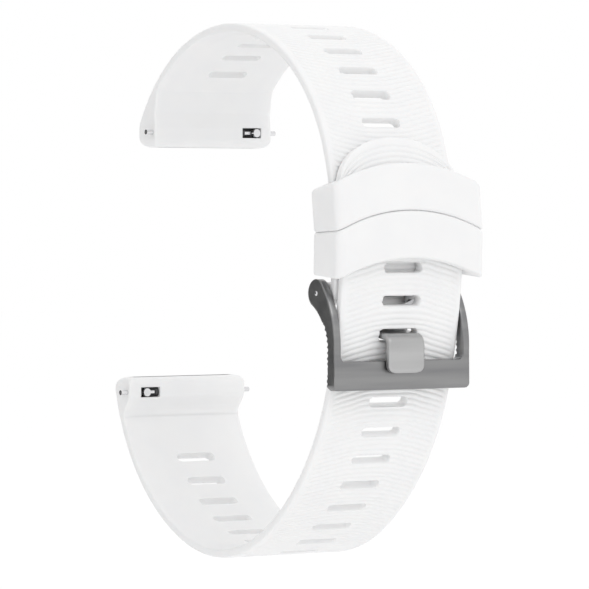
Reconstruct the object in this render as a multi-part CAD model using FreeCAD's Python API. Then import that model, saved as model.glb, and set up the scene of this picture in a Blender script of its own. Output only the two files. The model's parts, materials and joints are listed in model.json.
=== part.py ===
import FreeCAD, Part
import math
import os

# Two-piece silicone sports-watch strap with quick-release spring bars, buckled into its worn loop.
# Millimetres.  +X runs along the spring bars (across the strap), +Y points from the watch to the
# buckle and +Z points towards the buckle strap's side of the watch (12 o'clock).
# The loop is laid out in the YZ plane about the centre of the keeper arc, and everything is shifted
# at the end so that the origin is midway between the two spring bars that hold the watch.

# ---- driving dimensions: strap section ----
STRAP_WIDTH = 22.0
STRAP_THICKNESS = 1.8
EDGE_THICKNESS = 1.3          # the inner face slopes away towards both long edges
EDGE_SLOPE_WIDTH = 2.6
EDGE_CHAMFER = 0.25

# ---- driving dimensions: the loop, outer face, angles in degrees about each arc's own centre ----
FREE_END_RADIUS = 50.0        # keeper arc: both straps and both keepers share its centre
LAYER_GAP = 0.1               # between the two straps where they lie on each other
HINGE_END_ANGLE = -9.5        # the buckle strap's outer skin stops here
KEEPER_ARC_TOP = 17.2
TOP_RADIUS = 28.5
TIP_ANGLE = 20.8              # point of the free end
TIP_ARCH = 7.7                # how far the free end's arch rises above its corners
LOWER_ARC_START = -5.7        # the hole strap leaves the keeper arc here, on its way to the buckle
LOWER_RUNS = ((15.9, 92.0), (30.4, 41.0), (23.3, 25.3))   # (length, radius) on the outer face
LOWER_LUG_RADIUS = 33.0

# ---- driving dimensions: lugs ----
LUG_DROP = 2.4                # from the spring bar's axis to the end face of the strap
LUG_CORNER = 1.3              # corner radius of the end, seen from the wrist
UPPER_BAR_TURN = 133.1        # turn of the top arc from the keeper arc to the bar
UPPER_BAR_DEPTH = 4.1         # bar axis below the outer face
LOWER_BAR_TURN = 53.7
LOWER_BAR_DEPTH = 3.5
LUG_BACK = 4.2                # bar axis to the lug's outer corner
LUG_FACE_WALL = 0.3           # silicone between the bar and the lug's inner face
SCOOP_ROUND = 1.6             # corner radii of the lug's outline, from the wrist side round the end
CREST_ROUND = 1.2
INNER_END_ROUND = 1.4
OUTER_END_ROUND = 1.8
UPPER_LUG_ANGLE = 14.0        # the lug takes over from the strap this far before the bar
UPPER_SHOULDER_ANGLE = 2.1    # and joins the outer face this far past it
UPPER_SCOOP_DIP = 0.25        # finger scoop: below the lug's inner face, and above the bar
UPPER_SCOOP_RISE = 3.0
LOWER_LUG_ANGLE = 6.5
LOWER_SHOULDER_ANGLE = 0.7
LOWER_SCOOP_ANGLE = 1.2

# ---- driving dimensions: slots ----
SLOT_SIDE_CLEARANCE = 0.25    # each side of the tongue
SLOT_HEIGHT_SPARE = 1.0       # more than the tongue's thickness, as the tongue crosses at a slant
SLOT_CORNER = 0.8
SLOT_PITCH = 5.0
SLOTS_ABOVE_TONGUE = 3
SLOTS_BELOW_TONGUE = 16
TONGUE_SLOT_RUN = 8.3         # from the start of the lower arcs to the slot that the tongue uses
BUCKLE_STRAP_SLOTS = 11
FIRST_UPPER_SLOT = 27.3       # along the buckle strap from its hinge end

# ---- driving dimensions: spring bars ----
BAR_RADIUS = 0.75
BAR_WALL = 0.15
BAR_END_WALL = 0.35
BAR_SHORTER = 0.3             # the tube stops this far inside each side of the strap
TIP_RADIUS = 0.4
TIP_REACH = 1.25              # how far a tip stands out of the strap
TIP_TAPER = 0.02              # the shaft behind a tip widens by this towards the plug or plunger
TIP_START = 0.15              # the straight tip starts this far outside the strap
FIXED_PLUG = 1.6
PLUNGER_LENGTH = 5.2
RELEASE_TRAVEL = 1.6
KNOB_STEM_RADIUS = 0.3
KNOB_RADIUS = 0.65
KNOB_HEIGHT = 0.55
KNOB_INSET = 3.0              # knob axis, from the side of the strap, with the tip out
RELEASE_END_ROOM = 0.35       # between the knob's head and the window's ends, at each end of its travel
RELEASE_SLOT_CORNER = 0.4
KNOB_ROOM = 0.15              # between the knob's head and the window's long sides
SPRING_WIRE = 0.07
SPRING_PITCH = 0.9
BORE_CLEARANCE = 0.03         # silicone bore around a bar
SLIDE_CLEARANCE = 0.03        # plunger in its tube
PIVOT_CLEARANCE = 0.05        # tongue and frame on the buckle bar

# ---- driving dimensions: buckle ----
HINGE_SINK = 0.25             # between the buckle bar and the buckle strap's inner face
HINGE_ANGLE = -8.65
HINGE_BULB_WALL = 1.05        # silicone round the buckle bar
FRAME_SIDE_GAP = 0.25
ARM_THICKNESS = 1.2
ARM_DEPTH = 2.25
EAR_RADIUS = 2.15
FRONT_BAR_HEIGHT = 4.35
FRONT_BAR_TOP = 10.05         # below the hinge axis
FRONT_BAR_DEPTH = 1.7
FRAME_LIFT = 0.2              # outer face of the frame above the hole strap's outer face, at the hinge
ARM_SWEEP_DROP = 8.6          # the arms run straight from here down
ARM_INNER_BEND = (1.35, 4.1)  # points on the arms' bends: out from the hinge axis, and below it
ARM_OUTER_BEND = (4.05, 3.0)
EAR_LOW_ANGLE = 228.0         # the ear's round side runs between these angles
EAR_MIDDLE_ANGLE = 127.0
EAR_HIGH_ANGLE = 27.0
TONGUE_WIDTH = 6.4
TONGUE_THICKNESS = 1.0
TONGUE_BARREL_WALL = 0.45
TONGUE_TIP_DROP = 11.9
TONGUE_CROSSING_DROP = 6.55
TONGUE_INNER_REACH = 1.15
TONGUE_LIFT = 0.1             # tongue above the front bar
TONGUE_BEND = 0.9             # radius of the blade's bends, along its middle
TONGUE_ROOT = (0.55, 0.4)     # start of the blade's middle: out from the hinge axis, and below it
TONGUE_CROSSING_RISE = 0.55   # the blade's slant through the slot, above and below its crossing
TONGUE_CROSSING_FALL = 0.25
TONGUE_TIP_ROUND = 0.9
NOTCH_CLEARANCE = 0.3

# ---- driving dimensions: keepers ----
KEEPER_CLEARANCE = 0.15
KEEPER_SIDE_CLEARANCE = 0.25
KEEPER_INNER_WALL = 1.2
KEEPER_OUTER_WALL = 1.5
KEEPER_SIDE_WALL = 1.85
KEEPER_HEIGHTS = (6.1, 6.8)   # lower, upper
KEEPER_FIRST_ANGLE = -5.1     # lower corners of the lower keeper
KEEPER_SPACE = 0.9
KEEPER_ARCH = 2.9
KEEPER_CORNER = 0.8
KEEPER_HOLE_CORNER = 0.3

X_AXIS = FreeCAD.Vector(1, 0, 0)
PAST = 1.0                    # how far a cutting tool runs past what it cuts
SPARE_ANGLE = 12.0            # length of the free end that its arch then cuts away
EXACT = 1e-6                  # edges that lie in one plane are picked to this

# ---- sizes that follow from the ones above ----
HALF_WIDTH = STRAP_WIDTH / 2
LUG_FACE = BAR_RADIUS + LUG_FACE_WALL
LUG_BLOCK = 2 * (LUG_BACK + LUG_FACE) + 2 * LUG_DROP
SLOT_LENGTH = TONGUE_WIDTH + 2 * SLOT_SIDE_CLEARANCE
SLOT_HEIGHT = TONGUE_THICKNESS + SLOT_HEIGHT_SPARE
RELEASE_SLOT_LENGTH = RELEASE_TRAVEL + 2 * (KNOB_RADIUS + RELEASE_END_ROOM)
RELEASE_SLOT_HEIGHT = 2 * (KNOB_RADIUS + KNOB_ROOM)
HINGE_BELOW = BAR_RADIUS + HINGE_SINK
HINGE_BULB = BAR_RADIUS + HINGE_BULB_WALL
FRAME_REACH = HINGE_BELOW + 2 * STRAP_THICKNESS + LAYER_GAP + FRAME_LIFT


def place(y, z, x=0.0):
    return FreeCAD.Vector(x, y, z)


def polar(centre, radius, angle, x=0.0):
    """Point at a radius and an angle (degrees, from +Y towards +Z) round a centre in the YZ plane."""
    turn = math.radians(angle)
    return FreeCAD.Vector(x, centre.y + radius * math.cos(turn), centre.z + radius * math.sin(turn))


def next_centre(centre, radius, angle, new_radius):
    """Centre of the arc that carries on smoothly from another arc at an angle."""
    return polar(centre, radius - new_radius, angle)


# ---- the loop's arcs: (centre, outer radius, start angle, end angle) ----
KEEPER_CENTRE = place(0, 0)
BUCKLE_STRAP_RADIUS = FREE_END_RADIUS - STRAP_THICKNESS - LAYER_GAP
TOP_CENTRE = next_centre(KEEPER_CENTRE, BUCKLE_STRAP_RADIUS, KEEPER_ARC_TOP, TOP_RADIUS)
UPPER_BAR_ANGLE = KEEPER_ARC_TOP + UPPER_BAR_TURN
UPPER_BAR = polar(TOP_CENTRE, TOP_RADIUS - UPPER_BAR_DEPTH, UPPER_BAR_ANGLE)
FREE_TOP_RADIUS = TOP_RADIUS + FREE_END_RADIUS - BUCKLE_STRAP_RADIUS


def lower_arcs():
    """The hole strap's arcs below the keepers, each starting where the one before it ends."""
    arcs = []
    centre, radius, angle = KEEPER_CENTRE, FREE_END_RADIUS, LOWER_ARC_START
    for length, new_radius in LOWER_RUNS + ((None, LOWER_LUG_RADIUS),):
        centre = next_centre(centre, radius, angle, new_radius)
        radius = new_radius
        sweep = LOWER_BAR_TURN if length is None else math.degrees(length / radius)
        arcs.append((centre, radius, angle, angle - sweep))
        angle -= sweep
    return arcs


LOWER_ARCS = lower_arcs()
LOWER_CENTRE = LOWER_ARCS[-1][0]
LOWER_BAR_ANGLE = LOWER_ARCS[-1][3]
LOWER_BAR = polar(LOWER_CENTRE, LOWER_LUG_RADIUS - LOWER_BAR_DEPTH, LOWER_BAR_ANGLE)
HINGE = polar(KEEPER_CENTRE, BUCKLE_STRAP_RADIUS - STRAP_THICKNESS - HINGE_BELOW, HINGE_ANGLE)
ORIGIN = (UPPER_BAR + LOWER_BAR) * 0.5


# ---- general shapes ----
def cylinder(radius, x0, x1, centre):
    """Cylinder along X between two x values, round a point of the YZ plane."""
    return Part.makeCylinder(radius, x1 - x0, FreeCAD.Vector(x0, centre.y, centre.z), X_AXIS)


def mirror_x(shape):
    return shape.mirror(FreeCAD.Vector(0, 0, 0), X_AXIS)


def stand_on(shape, centre, radius, angle):
    """Turn a shape built with +Z as the outward normal to its place on an arc's outer face."""
    shape.rotate(FreeCAD.Vector(0, 0, 0), X_AXIS, angle - 90)
    shape.translate(polar(centre, radius, angle))
    return shape


def rounded_box(length, height, corner, low, high):
    """Block centred on the Z axis, its four upright edges rounded, between two z values."""
    box = Part.makeBox(length, height, high - low, FreeCAD.Vector(-length / 2, -height / 2, low))
    upright = [e for e in box.Edges if abs(e.Vertexes[0].Z - e.Vertexes[1].Z) > 0.9 * (high - low)]
    return box.makeFillet(corner, upright)


def rounded_corner(before, corner, after, radius):
    """Tangent points and middle of the arc that rounds one corner of an outline."""
    back = (before - corner).normalize()
    ahead = (after - corner).normalize()
    half = back.getAngle(ahead) / 2
    reach = radius / math.tan(half)
    bisector = (back + ahead).normalize()
    middle = corner + bisector * (radius / math.sin(half) - radius)
    return corner + back * reach, middle, corner + ahead * reach


def outline(points):
    """Edges of an open outline through (point, corner radius) pairs."""
    edges = []
    start = points[0][0]
    for before, (corner, radius), after in zip(points, points[1:], points[2:]):
        if radius > 0:
            a, middle, b = rounded_corner(before[0], corner, after[0], radius)
            edges += [Part.makeLine(start, a), Part.Arc(a, middle, b).toShape()]
            start = b
        else:
            edges.append(Part.makeLine(start, corner))
            start = corner
    edges.append(Part.makeLine(start, points[-1][0]))
    return edges


def prism(edges, x0, x1):
    """Solid between two x values from a closed outline in the YZ plane."""
    face = Part.Face(Part.Wire(Part.__sortEdges__(edges)))
    face.translate(FreeCAD.Vector(x0, 0, 0))
    return face.extrude(FreeCAD.Vector(x1 - x0, 0, 0))


def fuse_all(shapes):
    return shapes[0].multiFuse(shapes[1:]).removeSplitter()


# ---- strap band, slots and lugs ----
def band(centre, radius, start, end):
    """One bent length of strap: its section turned about the arc's centre."""
    half, inner = HALF_WIDTH, radius - STRAP_THICKNESS
    section = [(EDGE_CHAMFER - half, radius), (half - EDGE_CHAMFER, radius),
               (half, radius - EDGE_CHAMFER), (half, radius - EDGE_THICKNESS),
               (half - EDGE_SLOPE_WIDTH, inner), (EDGE_SLOPE_WIDTH - half, inner),
               (-half, radius - EDGE_THICKNESS), (-half, radius - EDGE_CHAMFER)]
    points = [polar(centre, r, start, x) for x, r in section]
    face = Part.Face(Part.makePolygon(points + points[:1]))
    return face.revolve(centre, X_AXIS, end - start)


def slot_cutter(centre, radius, angle):
    """Rounded slot that goes straight through the strap at one place on an arc."""
    cutter = rounded_box(SLOT_LENGTH, SLOT_HEIGHT, SLOT_CORNER, -STRAP_THICKNESS - PAST, PAST)
    return stand_on(cutter, centre, radius, angle)


def place_on(arcs, run):
    """Centre, radius and angle at a distance along a chain of arcs."""
    for centre, radius, start, end in arcs:
        length = math.radians(abs(end - start)) * radius
        if run <= length:
            return centre, radius, start + math.copysign(math.degrees(run / radius), end - start)
        run -= length
    raise ValueError("slot lies past the end of the strap")


def lug(bar, centre, radius, side, inner_angle, outer_angle, scoop):
    """Thick end of a strap round its spring bar.

    side is +1 where the end face looks towards +Z and -1 where it looks towards -Z.  The outline
    leaves the strap's inner face, dips in the scoop, rises to the flat inner face over the bar,
    rounds the end and comes back along the outer face.
    """
    towards_end = FreeCAD.Vector(0, 0, side)
    inward = FreeCAD.Vector(0, 1, 0)
    root = polar(centre, radius - STRAP_THICKNESS, inner_angle)
    crest = bar + inward * LUG_FACE - towards_end * BAR_RADIUS
    inner_end = bar + inward * LUG_FACE + towards_end * LUG_DROP
    outer_end = bar - inward * LUG_BACK + towards_end * LUG_DROP
    shoulder = polar(centre, radius, outer_angle)
    points = [(root, 0), (scoop, SCOOP_ROUND), (crest, CREST_ROUND),
              (inner_end, INNER_END_ROUND), (outer_end, OUTER_END_ROUND), (shoulder, 0)]
    middle = polar(centre, radius, (inner_angle + outer_angle) / 2)
    back = polar(centre, radius, inner_angle)
    edges = outline(points) + [Part.Arc(shoulder, middle, back).toShape(), Part.makeLine(back, root)]
    body = prism(edges, -HALF_WIDTH, HALF_WIDTH)
    return body.common(lug_corners(bar, side))


def lug_corners(bar, side):
    """Block whose two corners round the strap's end as seen from the wrist."""
    end = bar.z + side * LUG_DROP
    low = end - (LUG_BLOCK if side > 0 else 0)
    corner = FreeCAD.Vector(-HALF_WIDTH, bar.y - LUG_BLOCK / 2, low)
    block = Part.makeBox(STRAP_WIDTH, LUG_BLOCK, LUG_BLOCK, corner)
    edges = [e for e in block.Edges
             if abs(e.Vertexes[0].Z - end) < EXACT and abs(e.Vertexes[1].Z - end) < EXACT
             and abs(e.Vertexes[0].X - e.Vertexes[1].X) < EXACT]
    return block.makeFillet(LUG_CORNER, edges)


def release_window(bar, hand):
    """Slot in the lug's inner face through which a thumbnail pulls the knob."""
    x = hand * (HALF_WIDTH - KNOB_INSET - RELEASE_TRAVEL / 2)
    window = rounded_box(RELEASE_SLOT_LENGTH, RELEASE_SLOT_HEIGHT, RELEASE_SLOT_CORNER,
                         0, LUG_FACE + PAST)
    window.rotate(FreeCAD.Vector(0, 0, 0), X_AXIS, -90)
    window.translate(bar + FreeCAD.Vector(x, 0, 0))
    return window


def bar_bore(bar):
    return cylinder(BAR_RADIUS + BORE_CLEARANCE, -HALF_WIDTH - PAST, HALF_WIDTH + PAST, bar)


def buckle_strap():
    """Short strap: hinge end, keeper arc, top of the loop and the upper lug."""
    inner_angle = UPPER_BAR_ANGLE - UPPER_LUG_ANGLE
    arcs = [(KEEPER_CENTRE, BUCKLE_STRAP_RADIUS, HINGE_END_ANGLE, KEEPER_ARC_TOP),
            (TOP_CENTRE, TOP_RADIUS, KEEPER_ARC_TOP, inner_angle)]
    scoop = UPPER_BAR + FreeCAD.Vector(0, LUG_FACE - UPPER_SCOOP_DIP, UPPER_SCOOP_RISE)
    solids = [band(*arc) for arc in arcs]
    solids.append(lug(UPPER_BAR, TOP_CENTRE, TOP_RADIUS, -1, inner_angle,
                      UPPER_BAR_ANGLE + UPPER_SHOULDER_ANGLE, scoop))
    solids.append(cylinder(HINGE_BULB, -HALF_WIDTH, HALF_WIDTH, HINGE))
    strap = fuse_all(solids)
    tools = [bar_bore(UPPER_BAR), bar_bore(HINGE), release_window(UPPER_BAR, -1), tongue_notch()]
    for i in range(BUCKLE_STRAP_SLOTS):
        tools.append(slot_cutter(*place_on(arcs, FIRST_UPPER_SLOT + i * SLOT_PITCH)))
    return strap.cut(Part.makeCompound(tools))


def tongue_notch():
    """Gap in the hinge end for the tongue's barrel and blade."""
    width = TONGUE_WIDTH + 2 * NOTCH_CLEARANCE
    reach = BAR_RADIUS + PIVOT_CLEARANCE + TONGUE_BARREL_WALL + NOTCH_CLEARANCE
    low = HINGE + FreeCAD.Vector(-width / 2, -2 * HINGE_BULB, -2 * HINGE_BULB - reach)
    return Part.makeBox(width, 5 * HINGE_BULB, 2 * reach + 2 * HINGE_BULB, low)


def free_end_arch():
    """Prism, pointing along +Y, that gives the free end its arched point."""
    tip = polar(KEEPER_CENTRE, FREE_END_RADIUS, TIP_ANGLE)
    corner_z = tip.z - TIP_ARCH
    ellipse = Part.Ellipse(FreeCAD.Vector(0, 0, corner_z), HALF_WIDTH, TIP_ARCH)
    disc = Part.Face(Part.Wire(ellipse.toShape()))
    disc.rotate(FreeCAD.Vector(0, 0, corner_z), X_AXIS, 90)
    disc.translate(FreeCAD.Vector(0, tip.y - 4 * STRAP_THICKNESS, 0))
    arch = disc.extrude(FreeCAD.Vector(0, 8 * STRAP_THICKNESS, 0))
    below = Part.makeBox(STRAP_WIDTH, 8 * STRAP_THICKNESS, 3 * TIP_ARCH,
                         FreeCAD.Vector(-HALF_WIDTH, tip.y - 4 * STRAP_THICKNESS, corner_z - 3 * TIP_ARCH))
    return arch.fuse(below)


def free_end():
    """Arched end of the hole strap, lying on the buckle strap."""
    top_centre = next_centre(KEEPER_CENTRE, FREE_END_RADIUS, KEEPER_ARC_TOP, FREE_TOP_RADIUS)
    pieces = [band(KEEPER_CENTRE, FREE_END_RADIUS, 0, KEEPER_ARC_TOP),
              band(top_centre, FREE_TOP_RADIUS, KEEPER_ARC_TOP, TIP_ANGLE + SPARE_ANGLE)]
    return fuse_all(pieces).common(free_end_arch())


def hole_strap():
    """Long strap: arched free end, keeper arc, buckle, bottom of the loop and the lower lug."""
    inner_angle = LOWER_BAR_ANGLE + LOWER_LUG_ANGLE
    last = LOWER_ARCS[-1]
    arcs = LOWER_ARCS[:-1] + [(last[0], last[1], last[2], inner_angle)]
    scoop = polar(LOWER_CENTRE, LOWER_LUG_RADIUS - STRAP_THICKNESS, inner_angle - LOWER_SCOOP_ANGLE)
    solids = [free_end(), band(KEEPER_CENTRE, FREE_END_RADIUS, 0, LOWER_ARC_START)]
    solids += [band(*arc) for arc in arcs]
    solids.append(lug(LOWER_BAR, LOWER_CENTRE, LOWER_LUG_RADIUS, 1, inner_angle,
                      LOWER_BAR_ANGLE + LOWER_SHOULDER_ANGLE, scoop))
    strap = fuse_all(solids)
    tools = [bar_bore(LOWER_BAR), release_window(LOWER_BAR, 1)]
    whole = [(KEEPER_CENTRE, FREE_END_RADIUS, KEEPER_ARC_TOP, LOWER_ARC_START)] + arcs
    keeper_run = math.radians(KEEPER_ARC_TOP - LOWER_ARC_START) * FREE_END_RADIUS
    for i in range(-SLOTS_ABOVE_TONGUE, SLOTS_BELOW_TONGUE + 1):
        run = keeper_run + TONGUE_SLOT_RUN + i * SLOT_PITCH
        tools.append(slot_cutter(*place_on(whole, run)))
    return strap.cut(Part.makeCompound(tools))


# ---- spring bars ----
TUBE_BORE = BAR_RADIUS - BAR_WALL
TUBE_END = HALF_WIDTH - BAR_SHORTER
CHAMBER_END = TUBE_END - BAR_END_WALL
PLUNGER_RADIUS = TUBE_BORE - SLIDE_CLEARANCE
TIP_END = HALF_WIDTH + TIP_REACH


def bar_tube(centre):
    """Hollow tube with a turned-in end wall at each end."""
    tube = cylinder(BAR_RADIUS, -TUBE_END, TUBE_END, centre)
    tube = tube.cut(cylinder(TUBE_BORE, -CHAMBER_END, CHAMBER_END, centre))
    return tube.cut(cylinder(TIP_RADIUS + SLIDE_CLEARANCE, -TUBE_END - PAST, TUBE_END + PAST, centre))


def release_tube(centre, hand):
    """Spring-bar tube with the slot that lets the knob's stem travel."""
    half_height = KNOB_STEM_RADIUS + PIVOT_CLEARANCE
    x0 = HALF_WIDTH - KNOB_INSET - RELEASE_TRAVEL - half_height
    slot = Part.makeBox(RELEASE_TRAVEL + 2 * half_height, BAR_RADIUS + PAST, 2 * half_height,
                        FreeCAD.Vector(x0, centre.y, centre.z - half_height))
    return bar_tube(centre).cut(slot if hand > 0 else mirror_x(slot))


def tip_shaft(centre, x0, end):
    """Slightly tapered shaft through the tube's end wall, then the straight tip."""
    start = HALF_WIDTH + TIP_START
    base = FreeCAD.Vector(x0, centre.y, centre.z)
    taper = Part.makeCone(TIP_RADIUS + TIP_TAPER, TIP_RADIUS, start - x0, base, X_AXIS)
    return taper.fuse(cylinder(TIP_RADIUS, start, end, centre))


def fixed_tip(centre, hand):
    """Tip that is swaged into one end of the tube."""
    plug = cylinder(TUBE_BORE, CHAMBER_END - FIXED_PLUG, CHAMBER_END, centre)
    tip = plug.fuse(tip_shaft(centre, CHAMBER_END, TIP_END))
    return tip if hand > 0 else mirror_x(tip)


def sliding_tip(centre, hand, end):
    """Plunger inside the tube with the tip that stands out of it."""
    shoulder = CHAMBER_END - SLIDE_CLEARANCE
    plunger = cylinder(PLUNGER_RADIUS, shoulder - PLUNGER_LENGTH, shoulder, centre)
    tip = plunger.fuse(tip_shaft(centre, shoulder, end))
    return tip if hand > 0 else mirror_x(tip)


def release_knob(centre, hand):
    """Stem and round head on the plunger, reached through the window in the lug."""
    base = centre + FreeCAD.Vector(hand * (HALF_WIDTH - KNOB_INSET), PLUNGER_RADIUS, 0)
    head = centre + FreeCAD.Vector(hand * (HALF_WIDTH - KNOB_INSET), BAR_RADIUS + PIVOT_CLEARANCE, 0)
    along = FreeCAD.Vector(0, 1, 0)
    stem = Part.makeCylinder(KNOB_STEM_RADIUS, BAR_RADIUS + KNOB_HEIGHT - PLUNGER_RADIUS, base, along)
    return stem.fuse(Part.makeCylinder(KNOB_RADIUS, KNOB_HEIGHT, head, along))


def coil_spring(centre, x0, x1):
    """Helical spring along X between two x values."""
    radius = PLUNGER_RADIUS - SPRING_WIRE - SLIDE_CLEARANCE
    helix = Part.makeHelix(SPRING_PITCH, x1 - x0 - 2 * SPRING_WIRE, radius)
    start = FreeCAD.Vector(radius, 0, 0)
    ring = Part.makeCircle(SPRING_WIRE, start, FreeCAD.Vector(0, 2 * math.pi * radius, SPRING_PITCH))
    spring = Part.Wire(helix.Edges).makePipeShell([Part.Wire(ring)], True, True)
    spring.rotate(FreeCAD.Vector(0, 0, 0), FreeCAD.Vector(0, 1, 0), 90)
    spring.translate(FreeCAD.Vector(x0 + SPRING_WIRE, centre.y, centre.z))
    return spring


def release_spring(centre, hand):
    """Spring between the swaged plug and the plunger."""
    spring = coil_spring(centre, -(CHAMBER_END - FIXED_PLUG), CHAMBER_END - SLIDE_CLEARANCE - PLUNGER_LENGTH)
    return spring if hand > 0 else mirror_x(spring)


def buckle_spring():
    """Spring between the buckle bar's two plungers."""
    reach = CHAMBER_END - SLIDE_CLEARANCE - PLUNGER_LENGTH
    return coil_spring(HINGE, -reach, reach)


# ---- buckle ----
FRAME_INNER_X = HALF_WIDTH + FRAME_SIDE_GAP
FRAME_OUTER_X = FRAME_INNER_X + ARM_THICKNESS
FRAME_FACE_Y = HINGE.y + FRAME_REACH
FRONT_TOP_Z = HINGE.z - FRONT_BAR_TOP
FRONT_BOTTOM_Z = FRONT_TOP_Z - FRONT_BAR_HEIGHT


def frame_arm(x0, x1):
    """Side arm: a round ear on the buckle bar, sweeping out and down to the front bar."""
    y, z = HINGE.y, HINGE.z
    inner_y = FRAME_FACE_Y - ARM_DEPTH
    sweep_z = z - ARM_SWEEP_DROP
    inner_bend = place(y + ARM_INNER_BEND[0], z - ARM_INNER_BEND[1])
    outer_bend = place(y + ARM_OUTER_BEND[0], z - ARM_OUTER_BEND[1])
    ear_low = polar(HINGE, EAR_RADIUS, EAR_LOW_ANGLE)
    ear_high = polar(HINGE, EAR_RADIUS, EAR_HIGH_ANGLE)
    edges = [
        Part.Arc(ear_low, inner_bend, place(inner_y, sweep_z)).toShape(),
        Part.makeLine(place(inner_y, sweep_z), place(inner_y, FRONT_BOTTOM_Z)),
        Part.makeLine(place(inner_y, FRONT_BOTTOM_Z), place(FRAME_FACE_Y, FRONT_BOTTOM_Z)),
        Part.makeLine(place(FRAME_FACE_Y, FRONT_BOTTOM_Z), place(FRAME_FACE_Y, sweep_z)),
        Part.Arc(place(FRAME_FACE_Y, sweep_z), outer_bend, ear_high).toShape(),
        Part.Arc(ear_high, polar(HINGE, EAR_RADIUS, EAR_MIDDLE_ANGLE), ear_low).toShape(),
    ]
    return prism(edges, x0, x1)


def buckle_frame():
    """Open U: two arms with eared ends, joined by the front bar."""
    hand = frame_arm(FRAME_INNER_X, FRAME_OUTER_X)
    bar = Part.makeBox(2 * FRAME_OUTER_X, FRONT_BAR_DEPTH, FRONT_BAR_HEIGHT,
                       FreeCAD.Vector(-FRAME_OUTER_X, FRAME_FACE_Y - FRONT_BAR_DEPTH, FRONT_BOTTOM_Z))
    frame = fuse_all([hand, mirror_x(hand), bar])
    hole = cylinder(TIP_RADIUS + PIVOT_CLEARANCE, -FRAME_OUTER_X - PAST, FRAME_OUTER_X + PAST, HINGE)
    return frame.cut(hole)


def buckle_tongue():
    """Barrel on the buckle bar and a bent blade that comes out through a slot onto the front bar."""
    y, z = HINGE.y, HINGE.z
    half = TONGUE_THICKNESS / 2
    outer_y = FRAME_FACE_Y + TONGUE_LIFT + half
    crossing_z = z - TONGUE_CROSSING_DROP
    route = [place(y + TONGUE_ROOT[0], z - TONGUE_ROOT[1]),
             place(y + TONGUE_INNER_REACH, crossing_z + TONGUE_CROSSING_RISE),
             place(outer_y, crossing_z - TONGUE_CROSSING_FALL), place(outer_y, z - TONGUE_TIP_DROP)]
    blade = blade_along(route)
    barrel_radius = BAR_RADIUS + PIVOT_CLEARANCE + TONGUE_BARREL_WALL
    barrel = cylinder(barrel_radius, -TONGUE_WIDTH / 2, TONGUE_WIDTH / 2, HINGE)
    tongue = barrel.fuse(blade)
    tongue = tongue.cut(cylinder(BAR_RADIUS + PIVOT_CLEARANCE, -TONGUE_WIDTH, TONGUE_WIDTH, HINGE))
    tip_z = z - TONGUE_TIP_DROP
    low = [e for e in tongue.Edges
           if e.BoundBox.ZLength < EXACT and abs(e.BoundBox.ZMin - tip_z) < EXACT
           and e.BoundBox.XLength < EXACT]
    return tongue.makeFillet(TONGUE_TIP_ROUND, low)


def blade_along(route):
    """Flat blade of even thickness whose middle follows a route with rounded bends."""
    half = TONGUE_THICKNESS / 2
    left, right = [], []
    for i, point in enumerate(route):
        before = route[max(i - 1, 0)]
        after = route[min(i + 1, len(route) - 1)]
        normals = []
        for a, b in ((before, point), (point, after)):
            if (b - a).Length > 0:
                step = (b - a).normalize()
                normals.append(FreeCAD.Vector(0, -step.z, step.y))
        spread = normals[0] + normals[-1]
        offset = spread * (2 * half / spread.dot(spread))
        turn = normals[0].cross(normals[-1]).x
        left.append((point + offset, TONGUE_BEND + (half if turn < 0 else -half)))
        right.append((point - offset, TONGUE_BEND + (-half if turn < 0 else half)))
    edges = outline(left) + outline(right)
    edges.append(Part.makeLine(left[0][0], right[0][0]))
    edges.append(Part.makeLine(left[-1][0], right[-1][0]))
    return prism(edges, -TONGUE_WIDTH / 2, TONGUE_WIDTH / 2)


# ---- keepers ----
KEEPER_INNER = BUCKLE_STRAP_RADIUS - STRAP_THICKNESS - KEEPER_CLEARANCE
KEEPER_OUTER = FREE_END_RADIUS + KEEPER_CLEARANCE
KEEPER_HALF_HOLE = HALF_WIDTH + KEEPER_SIDE_CLEARANCE


def ring_section(half_x, low, high, corner, angle):
    """Rounded rectangle across the strap, standing on a radius of the keeper arc."""
    plate = rounded_box(2 * half_x, high - low, corner, 0, 1)
    base = [f for f in plate.Faces if f.BoundBox.ZLength < EXACT and abs(f.BoundBox.ZMin) < EXACT][0]
    section = Part.Face(base.OuterWire)
    section.translate(FreeCAD.Vector(0, (low + high) / 2, 0))
    section.rotate(FreeCAD.Vector(0, 0, 0), X_AXIS, angle)
    section.translate(KEEPER_CENTRE)
    return section


def arch_band(height):
    """Prism along Z between two equal arches, as wide as a keeper, bulging towards -Y."""
    half = KEEPER_HALF_HOLE + KEEPER_SIDE_WALL
    deep = 2 * FREE_END_RADIUS

    def arch(y):
        return Part.Arc(FreeCAD.Vector(-half, y, 0), FreeCAD.Vector(0, y - KEEPER_ARCH, 0),
                        FreeCAD.Vector(half, y, 0)).toShape()

    sides = [Part.makeLine(FreeCAD.Vector(s * half, height / 2, 0), FreeCAD.Vector(s * half, -height / 2, 0))
             for s in (-1, 1)]
    edges = [arch(height / 2), arch(-height / 2)] + sides
    face = Part.Face(Part.Wire(Part.__sortEdges__(edges)))
    face.translate(FreeCAD.Vector(0, 0, -deep / 4))
    return face.extrude(FreeCAD.Vector(0, 0, deep / 2))


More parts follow.
